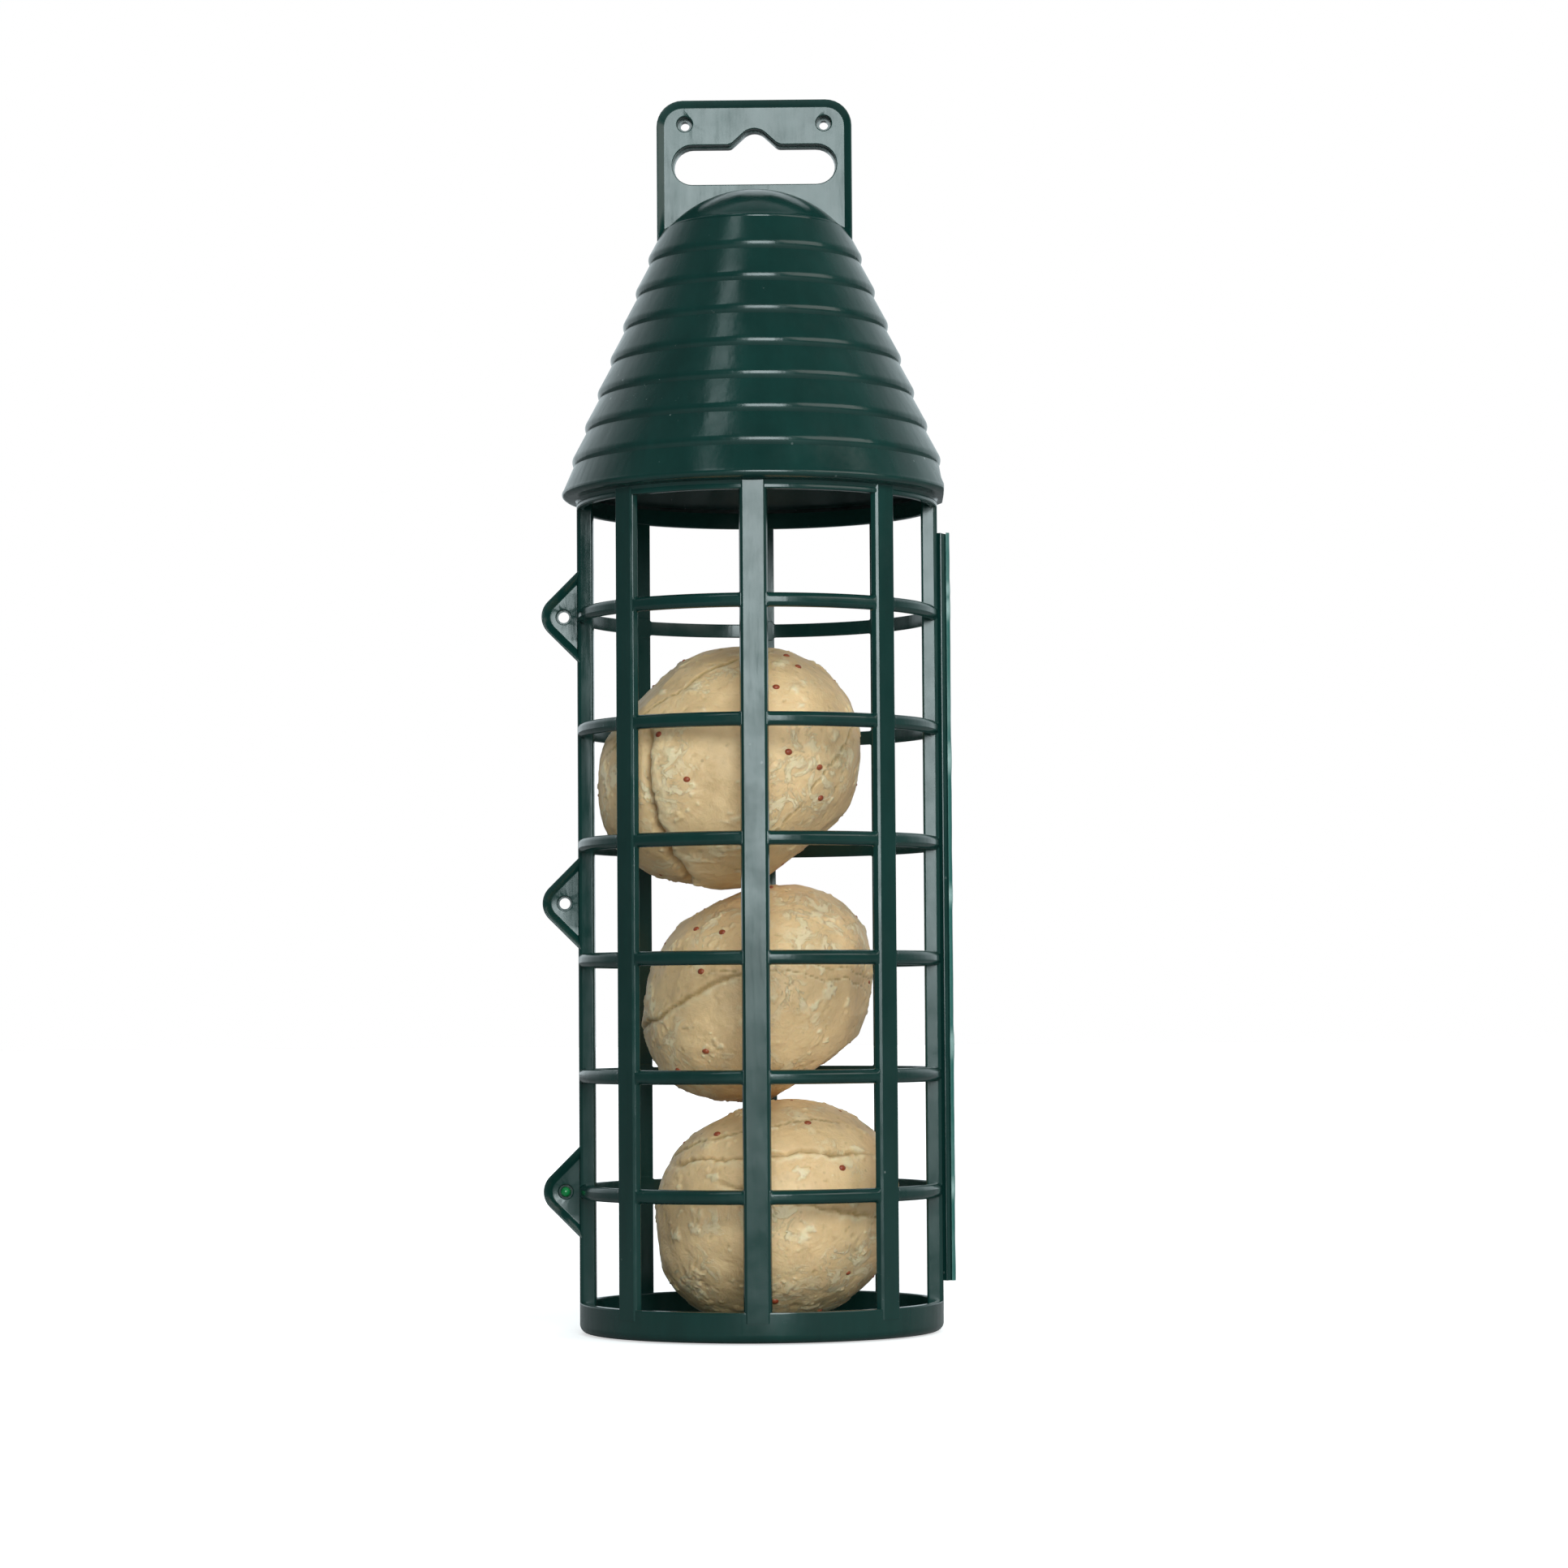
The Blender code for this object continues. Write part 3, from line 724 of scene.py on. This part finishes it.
def hang_plate_outline():
    """Upright plate with round top corners; its foot follows the dome, just inside the roof's skin."""
    half, top, corner = PLATE_HIGH.x, PLATE_HIGH.z, PLATE_CORNER
    left = arc((-half + corner, top - corner), corner, 180, 90, 8)
    right = arc((half - corner, top - corner), corner, 90, 0, 8)
    crown = DOME_TOP - 2.6 * MM
    foot_x, foot_z = PLATE_ARCH_FOOT
    drop = crown - foot_z
    sphere = (foot_x ** 2 + drop ** 2) / (2 * drop)
    end = math.degrees(math.acos(foot_x / sphere))
    centre = (0, crown - sphere)
    over = arc(centre, sphere, end, 180 - end, 24)
    return [(-half, PLATE_FOOT_Z), *left, *right, (half, PLATE_FOOT_Z), *over]


def slot_outline(side):
    """Long hanging slot with round ends and a raised notch; the back half's is a little smaller."""
    trim = SLOT_TRIM[side]
    low, high = SLOT_LOW_Z, SLOT_HIGH_Z - trim
    radius = (high - low) / 2
    reach = SLOT_HALF_WIDTH - trim - radius
    apex_radius = SLOT_NOTCH_RADIUS - trim
    apex = (0, SLOT_HIGH_Z)
    flank = apex_radius * math.sqrt(2) + apex[1] - high
    left = arc((-reach, low + radius), radius, 270, 90, 14)
    crown = arc(apex, apex_radius, 135, 45, 10)
    right = arc((reach, low + radius), radius, 90, -90, 14)
    ease = [(-0.9, 0.0), (-0.3, 0.1), (0.3, 0.5)]
    ease = [(-flank + x * MM, high + z * MM) for x, z in ease]
    return [*left, *ease, *crown, *((-x, z) for x, z in reversed(ease)), *right]


def make_hang_plate(side):
    shape = bmesh.new()
    height = max(abs(PLATE_LOW.y), abs(PLATE_HIGH.y))
    x, z = SCREW_PLACE
    holes = [slot_outline(side)]
    holes += [arc((place, z), SCREW_RADIUS[side], 180, -165, 23) for place in (-x, x)]
    add_panel(shape, side, hang_plate_outline(), PLATE_RIM, height, PLATE_SUNK, holes)
    nodes = [side + "_hang_plate"]
    return finish_piece(side + "_plate", shape, side + "_half", nodes)


def lug_outline(centre, radius, root):
    """A round ear with 45 degree flanks, whose root is buried in the side post."""
    z = centre[1]
    tip = arc(centre, radius, 225, 135, 14)
    rise = root - tip[0][0]
    flank_steps = 10
    climb = [rise * i / flank_steps for i in range(flank_steps)]
    lower = [(root - step, tip[0][1] - rise + step) for step in climb]
    upper = [(px, 2 * z - pz) for px, pz in reversed(lower)]
    height = upper[-1][1] - lower[0][1]
    back = [(root, upper[-1][1] - height * i / 10) for i in range(1, 10)]
    return [*lower, *tip, *upper, *back]


def make_lug(side, place):
    node = f"{side}_lug_{place}"
    low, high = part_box(node)
    z = (low.z + high.z) / 2
    centre = (low.x + EAR_RADIUS, z)
    post_face = max(abs(SIDE_LOW.y), abs(SIDE_HIGH.y))
    height = min(max(abs(low.y), abs(high.y)), post_face - 0.25 * MM)
    hole = arc(centre, EAR_HOLE_RADIUS[side], 180, -165, 23)
    outline = lug_outline(centre, EAR_RADIUS, -SIDE_HIGH.x + 3.1 * MM)
    shape = bmesh.new()
    add_panel(shape, side, outline, EAR_RIM, height, EAR_SUNK, [hole])
    return finish_piece(f"{side}_ear_{place}", shape, side + "_half", [node])


# Hinge ----------------------------------------------------------------------------------------

def make_hinge_leaf(side):
    """The flange beside the film, with a round bead along the side post."""
    height = LEAF_HIGH.y - LEAF_LOW.y
    outer = LEAF_HIGH.x - 0.1 * MM
    bead = [(0.26, 0.34), (0.31, 0.10), (0.38, 0.02), (0.57, 0.02), (0.64, 0.10), (0.70, 0.34)]
    root = LEAF_LOW.x - 0.9 * MM
    section = [(root, PLATE_SEAM), (root, height - 1.25 * MM)]
    section += [(LEAF_LOW.x + x * MM, height - drop * MM) for x, drop in bead]
    section += [(outer - 0.45 * MM, height - 0.72 * MM), (outer - 0.12 * MM, height - 0.92 * MM)]
    section += [(outer, height - 1.15 * MM), (outer, PLATE_SEAM)]
    shape = bmesh.new()
    low, high = LEAF_LOW.z, LEAF_HIGH.z
    count = 90
    sections = []
    for i in range(count + 1):
        z = low + (high - low) * i / count
        slant = 0.0 if i < count else 0.35 * MM
        ring = []
        for x, y in section:
            drop = slant * max(0.0, (x - LEAF_LOW.x) / (outer - LEAF_LOW.x))
            ring.append((x, SIDES[side] * y, z - drop))
        sections.append(ring)
    add_tube(shape, sections)
    nodes = [side + "_hinge_leaf"]
    return finish_piece(side + "_hinge_flange", shape, side + "_half", nodes)


def make_living_hinge():
    """A thin bowed web from one leaf's edge to the other's, slightly scalloped by use."""
    low, high = FILM_LOW.z, FILM_HIGH.z
    reach, wall = 1.0 * MM, 0.3 * MM
    pale = []
    root_x = LEAF_HIGH.x - 0.35 * MM
    rows = 150
    sections = []
    for i in range(rows + 1):
        z = low + (high - low) * i / rows
        wave = 0.14 * noise.noise(Vector((0, 3.1, z * 62))) + 0.08 * noise.noise(Vector((5.2, 0, z * 180)))
        worn = max(math.exp(-(((z / MM) - place) / spread_z) ** 4) for place, spread_z in HINGE_SCALLOPS)
        bulge = FILM_HIGH.x - 0.21 * MM - root_x + (0.6 * wave + 0.12 * worn) * MM
        outer, inner = [], []
        for k in range(13):
            angle = math.radians(-90 + 180 * k / 12)
            outer.append((root_x + bulge * math.cos(angle), reach * math.sin(angle), z))
            inner_x = root_x + (bulge - wall) * math.cos(angle)
            inner.append((inner_x, (reach - wall) * math.sin(angle), z))
        sections.append(outer + inner[::-1])
        pale += [worn] * 26
    shape = bmesh.new()
    add_tube(shape, sections)
    bmesh.ops.recalc_face_normals(shape, faces=shape.faces)
    mesh = smooth_mesh("living_hinge_web", shape, "hinge_film", 40)
    mesh.attributes.new("pale", "FLOAT", "POINT").data.foreach_set("value", pale)
    web = link_piece("living_hinge_web", mesh)
    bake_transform(web)
    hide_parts("living_hinge")
    return web


def make_peg():
    """The snap pin: round head behind, slim stem, round tip that shows in the front ear's hole."""
    low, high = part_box("closure_peg")
    x, z = (low.x + high.x) / 2, (low.z + high.z) / 2
    head = (high.x - low.x) / 2
    head_depth = 1.0 * MM
    stem, tip = 0.9 * MM, 1.1 * MM
    profile = [(0, low.y)]
    for angle in (math.radians(9 * i) for i in range(1, 11)):
        profile.append((tip * math.sin(angle), low.y + tip * (1 - math.cos(angle))))
    profile += [(tip, low.y + 1.7 * MM), (stem, low.y + 2.0 * MM), (stem, high.y - head_depth)]
    profile += [(head - 0.1 * MM, high.y - head_depth), (head, high.y - head_depth + 0.1 * MM)]
    round_over = 0.45 * MM
    for angle in (0.0, 0.5, 1.0, 1.57):
        sunk = round_over - round_over * math.sin(angle)
        profile.append((head - round_over * (1 - math.cos(angle)), high.y - sunk))
    profile += [(0.7 * MM, high.y), (0.6 * MM, high.y - 0.3 * MM), (0, high.y - 0.3 * MM)]
    shape = bmesh.new()
    count = 40
    rings = []
    for r, y in profile:
        ring = []
        for i in range(count):
            angle = 2 * math.pi * i / count
            ring.append(shape.verts.new((x + r * math.cos(angle), y, z + r * math.sin(angle))))
        rings.append(ring)
    for first, second in zip(rings, rings[1:]):
        bridge(shape, first, second)
    bmesh.ops.remove_doubles(shape, verts=shape.verts, dist=0.001 * MM)
    return finish_piece("snap_peg", shape, "closure_peg", ["closure_peg"], "peg_plastic")


# Suet balls -----------------------------------------------------------------------------------

def make_ball(name, lean, grow, facets, cracks, seeds, seed_number):
    """A pressed ball that leans sideways and grows past its box below and above, in millimetres.

    Facets are (direction, depth). Cracks are (pole, angle, width, depth, step, place): each runs on a
    circle at an angle in degrees from its pole, lifts one side by the step and fades away from its place.
    """
    low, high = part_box(name)
    centre, size = (low + high) / 2, (high - low) / 2
    shape = bmesh.new()
    bmesh.ops.create_icosphere(shape, subdivisions=7, radius=1.0)
    cream, shade = [], []
    drift = Vector((seed_number * 7.3, seed_number * 3.1, seed_number * 5.7))
    poles = []
    for pole, angle, width, depth, step, place in cracks:
        limit = math.cos(math.radians(angle))
        poles.append((Vector(pole).normalized(), limit, width, depth, step, Vector(place).normalized()))
    for vertex in shape.verts:
        d = vertex.co.normalized()
        squared = Vector([math.copysign(abs(c) ** 0.94, c) for c in d])
        push = 1 + 0.03 * noise.fractal(d * 1.3 + drift, 0.8, 2.1, 3)
        for direction, depth in facets:
            facing = d.dot(Vector(direction).normalized())
            if facing > 0:
                push *= 1 - max(0.0, push * facing - (1 - depth)) * 0.85
        edge, inside = 0.0, 0.0
        wobble = 0.05 * noise.noise(d * 3.5 + drift) + 0.018 * noise.noise(d * 13 + drift)
        wobble += 0.006 * noise.noise(d * 41)
        for axis, limit, width, depth, step, place in poles:
            off = axis.dot(d) - limit + wobble
            fade = max(0.0, min(1.0, (d.dot(place) - 0.45) / 0.25))
            width *= 0.6 + 0.8 * abs(noise.noise(d * 6 - drift))
            groove = math.exp(-(off / width) ** 2)
            push -= fade * depth * groove
            rise = 1 + math.exp(min(60.0, -off / (width * 0.35)))
            push += fade * step / rise * math.exp(-abs(off) / 0.16)
            rough = 0.5 + 0.9 * noise.noise(d * 19 + drift)
            edge = max(edge, fade * rough * math.exp(-((off + width * 2.2) / (width * 1.9)) ** 2))
            inside = max(inside, fade * groove)
        flaking = noise.noise(d * 4.6 + drift * 1.7) + 0.45 * noise.noise(d * 17 + drift)
        flaking += 0.2 * noise.noise(d * 43 + drift)
        flake = 1 / (1 + math.exp(max(-60.0, min(60.0, (0.44 - flaking) * 70))))
        pits = max(0.0, noise.noise(d * 23 + drift) - 0.44)
        push += 0.004 * noise.fractal(d * 8 + drift, 0.75, 2.2, 4) - 0.035 * pits + 0.010 * flake
        vertex.co = Vector([c * s for c, s in zip(squared, size)]) * push
        crust = flake * max(0.0, min(1.0, 0.45 + 2.2 * noise.noise(d * 9 - drift)))
        cream.append(min(1.0, max(0.75 * edge * (1 - inside), 0.75 * crust)))
        # painted shade: darker colour in the cracks' grooves and in the pits
        shade.append(min(0.9, 0.9 * inside + 1.5 * pits))
    for vertex in shape.verts:
        vertex.co.x += lean * vertex.co.z
    margin = 0.03 * MM
    low, high = low - Vector((0, 0, grow[0] * MM)), high + Vector((0, 0, grow[1] * MM))
    for i in range(3):
        values = [vertex.co[i] for vertex in shape.verts]
        start, end = min(values), max(values)
        scale = (high[i] - low[i] - 2 * margin) / (end - start)
        for vertex in shape.verts:
            vertex.co[i] = low[i] + margin + (vertex.co[i] - start) * scale
    # darker towards the bottom, broken up by noise
    for index, vertex in enumerate(shape.verts):
        down = (centre.z - vertex.co.z) / size.z
        bottom_darkening = max(0.0, min(0.6, (down - 0.45) * 1.1)) * (0.5 + 0.5 * noise.noise(vertex.co * 260))
        shade[index] = max(shade[index], bottom_darkening)
    mesh = smooth_mesh(name + "_suet", shape, "suet")
    # the second attribute carries the painted shade of cracks and pits and the darkening towards the bottom
    for attribute, values in (("cream", cream), ("dirt_and_painted_shade", shade)):
        mesh.attributes.new(attribute, "FLOAT", "POINT").data.foreach_set("value", values)
    ball = link_piece(name + "_suet", mesh)
    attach(ball, name)
    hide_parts(name)
    add_seeds(name, ball, centre, size, seeds, seed_number)
    return ball


def add_seeds(name, ball, centre, size, seeds, seed_number):
    """Millet seeds half sunk in the surface: chosen ones in front, then a scatter all round."""
    directions = []
    for x, z in seeds:
        way = Vector((x, -math.sqrt(max(0.0, 1 - x * x - z * z)), z))
        directions.append(Vector([w * s for w, s in zip(way, size)]).normalized())
    golden = math.pi * (3 - math.sqrt(5))
    count = 46
    for i in range(count):
        z = 1 - 2 * (i + 0.5) / count
        turn = golden * i + seed_number
        d = Vector((math.cos(turn) * math.sqrt(1 - z * z), math.sin(turn) * math.sqrt(1 - z * z), z))
        shift = Vector((4, 4, 4))
        jitter = Vector([noise.noise(place) for place in (d * 9, d * 9 + shift, d * 9 - shift)])
        d = (d + jitter * 0.3).normalized()
        if d.y > -0.25:
            directions.append(d)
    low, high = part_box(name)
    shape = bmesh.new()
    for index, direction in enumerate(directions):
        hit, point, normal, _ = ball.ray_cast(centre + direction * 0.06, -direction)
        if not hit:
            continue
        plump = 0.78 if index < len(seeds) else 0.42
        radius = (plump + 0.2 * noise.noise(Vector((index * 1.7, seed_number, 0)))) * MM
        turn = normal.to_track_quat("Z", "Y").to_matrix().to_4x4()
        place = Matrix.Translation(point - normal * radius * 0.15) @ turn
        stretch = Matrix.Diagonal((1.15, 0.95, 0.7, 1))
        bmesh.ops.create_icosphere(shape, subdivisions=2, radius=radius, matrix=place @ stretch)
    for vertex in shape.verts:
        for i in range(2):
            vertex.co[i] = min(max(vertex.co[i], low[i]), high[i])
    piece = link_piece(name + "_seeds", smooth_mesh(name + "_seeds", shape, "seed"))
    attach(piece, name)


# Studio ---------------------------------------------------------------------------------------

CAMERA_DISTANCE = 0.9964
CAMERA_HEIGHT = 0.0713
CAMERA_AZIMUTH = 1.2
CAMERA_ROLL = 0.39
AIM = (0.0058, 0.1237)
FOCAL_LENGTH = 100.69


def around(azimuth, elevation, distance, target):
    """A point seen from the target: azimuth 0 is in front, positive to the right."""
    a, e = math.radians(azimuth), math.radians(elevation)
    way = Vector((math.sin(a) * math.cos(e), -math.cos(a) * math.cos(e), math.sin(e)))
    return Vector(target) + way * distance


def look(obj, target, roll=0.0):
    way = Vector(target) - obj.location
    turn = way.to_track_quat("-Z", "Y").to_matrix().to_4x4()
    obj.matrix_world = Matrix.Translation(obj.location) @ turn @ Matrix.Rotation(math.radians(roll), 4, "Z")


def make_camera():
    camera = link_piece("camera", bpy.data.cameras.new("camera"))
    camera.data.lens = FOCAL_LENGTH
    camera.data.sensor_width = 36
    camera.data.clip_end = 20
    a = math.radians(CAMERA_AZIMUTH)
    camera.location = (CAMERA_DISTANCE * math.sin(a), -CAMERA_DISTANCE * math.cos(a), CAMERA_HEIGHT)
    look(camera, (AIM[0] * math.cos(a), AIM[0] * math.sin(a), AIM[1]), -CAMERA_ROLL)
    bpy.context.scene.camera = camera


def make_light(name, azimuth, elevation, distance, width, height, radiance, colour=(1, 1, 1)):
    """A soft rectangular light aimed at the feeder, set by its brightness per area."""
    data = bpy.data.lights.new(name, "AREA")
    data.shape = "RECTANGLE"
    data.size = width
    data.size_y = height
    data.energy = radiance * width * height * math.pi
    data.color = colour
    light = link_piece(name, data)
    target = (0, 0, 0.14)
    light.location = around(azimuth, elevation, distance, target)
    look(light, target)


def make_floor():
    mesh = bpy.data.meshes.new("floor")
    shape = bmesh.new()
    bmesh.ops.create_circle(shape, cap_ends=True, segments=96, radius=9)
    shape.to_mesh(mesh)
    shape.free()
    s = Shader("floor", (0.9, 0.9, 0.9), 0.9)
    s.set("Emission Color", (1, 1, 1, 1))
    away = s.nodes.new("ShaderNodeVectorMath")
    away.operation = "LENGTH"
    s.links.new(s.place, away.inputs[0])
    seen = s.nodes.new("ShaderNodeLightPath").outputs["Is Camera Ray"]
    glow = s.ramp(s.math("MULTIPLY", away.outputs["Value"], 0.5), (0.05, 0.6), (0.3, 1.0))
    s.plug(s.math("MULTIPLY", glow, seen), "Emission Strength")
    s.plug(s.mix(seen, (0.42, 0.42, 0.42), (0.9, 0.9, 0.9)), "Base Color")
    mesh.materials.append(s.material)
    floor = link_piece("floor", mesh)
    floor.location.z = -0.0003


def make_world():
    """White behind and below, dim at the sides and the front, and white where the camera looks."""
    world = bpy.data.worlds.new("studio")
    bpy.context.scene.world = world
    world.use_nodes = True
    nodes, links = world.node_tree.nodes, world.node_tree.links
    background = nodes["Background"]
    place = nodes.new("ShaderNodeTexCoord")
    split = nodes.new("ShaderNodeSeparateXYZ")
    links.new(place.outputs["Generated"], split.inputs["Vector"])
    ramp = nodes.new("ShaderNodeValToRGB")
    elements = ramp.color_ramp.elements
    elements.new(0.5)
    for element, (position, grey) in zip(elements, ((0.0, 0.06), (0.55, 0.14), (0.88, 0.95))):
        element.position = position
        element.color = (grey * 0.84, grey * 0.96, grey, 1)
    half = nodes.new("ShaderNodeMath")
    half.operation = "MULTIPLY_ADD"
    half.inputs[1].default_value = 0.5
    half.inputs[2].default_value = 0.5
    links.new(split.outputs["Y"], half.inputs[0])
    links.new(half.outputs["Value"], ramp.inputs["Fac"])
    seen = nodes.new("ShaderNodeLightPath")
    mix = nodes.new("ShaderNodeMix")
    mix.data_type = "RGBA"
    links.new(seen.outputs["Is Camera Ray"], mix.inputs[0])
    links.new(ramp.outputs["Color"], mix.inputs[6])
    mix.inputs[7].default_value = (1, 1, 1, 1)
    links.new(mix.outputs[2], background.inputs["Color"])
    bpy.context.scene.view_settings.view_transform = "Standard"


MATERIALS = {
    "green_plastic": make_green_plastic(),
    "hinge_film": make_film_plastic(),
    "peg_plastic": make_peg_plastic(),
    "suet": make_suet(),
    "seed": make_seed(),
}

for half in SIDES:
    make_roof(half)
    make_base(half)
    make_cage(half)
    make_hang_plate(half)
    make_hinge_leaf(half)
    for lug_place in ("bottom", "middle", "top"):
        make_lug(half, lug_place)
make_living_hinge()
make_peg()

make_ball(
    "fat_ball_top",
    lean=0.16,
    grow=(1.5, 0.0),
    facets=[((-0.85, -0.2, 0.65), 0.10), ((0.75, 0.0, -0.75), 0.09)],
    cracks=[
        ((-0.928, 0.310, -0.210), 74, 0.050, 0.130, -0.060, (-0.36, -0.66, -0.70)),
        ((-0.60, 0.25, 0.76), 58, 0.010, 0.010, 0.006, (-0.3, -0.8, 0.5)),
        ((0.75, 0.30, -0.55), 66, 0.010, 0.010, 0.008, (0.35, -0.9, 0.1)),
    ],
    seeds=[(-0.50, 0.21), (-0.28, -0.17), (0.36, 0.58), (0.42, 0.84), (0.50, 0.74), (0.70, 0.33),
           (0.46, 0.05), (0.68, -0.07), (0.70, -0.32), (0.25, -0.66), (0.22, -0.76)],
    seed_number=1,
)
make_ball(
    "fat_ball_middle",
    lean=0.18,
    grow=(1.2, 1.0),
    facets=[((-0.5, 0, 0.85), 0.06), ((0.65, 0, -0.75), 0.10), ((1, -0.4, 0.1), 0.05)],
    cracks=[
        ((-0.414, 0.069, 0.908), 83, 0.020, 0.035, 0.022, (-0.62, -0.77, 0.0)),
        ((0.1, 0.1, 1), 78, 0.009, 0.009, 0.005, (0.5, -0.85, 0.1)),
        ((0.0, 0.2, 1), 92, 0.008, 0.008, -0.004, (0.45, -0.88, -0.1)),
    ],
    seeds=[(-0.28, 0.56), (-0.60, -0.66), (0.12, 0.95), (-0.46, 0.20), (-0.40, -0.52), (-0.52, 0.62)],
    seed_number=2,
)
make_ball(
    "fat_ball_bottom",
    lean=0.10,
    grow=(0.0, 0.7),
    facets=[((0, 0, -1), 0.06), ((-0.5, 0, 0.85), 0.05), ((1, -0.2, 0), 0.06), ((-1, -0.1, -0.2), 0.04)],
    cracks=[
        ((-0.05, 0.12, 1), 66, 0.020, 0.036, -0.018, (-0.15, -0.9, 0.40)),
        ((0.25, -0.1, 1), 76, 0.016, 0.032, 0.012, (0.50, -0.82, 0.28)),
        ((-0.2, 0.3, 1), 57, 0.010, 0.012, 0.008, (-0.4, -0.75, 0.5)),
    ],
    seeds=[(0.51, 0.40), (0.58, -0.53), (-0.01, -0.73), (0.34, -0.87), (0.25, 0.78), (-0.45, 0.70)],
    seed_number=3,
)

make_floor()
make_world()
make_light("front_softbox", 6.5, 14.7, 1.76, 0.80, 1.0, 9.0, (0.86, 0.98, 1))
make_light("side_softbox", 55, 27, 1.5, 1.2, 1.0, 1.9, (1, 0.98, 0.94))
make_light("overhead_strip", -38, 65, 1.2, 0.17, 0.5, 1.9, (0.84, 0.98, 1))
make_camera()
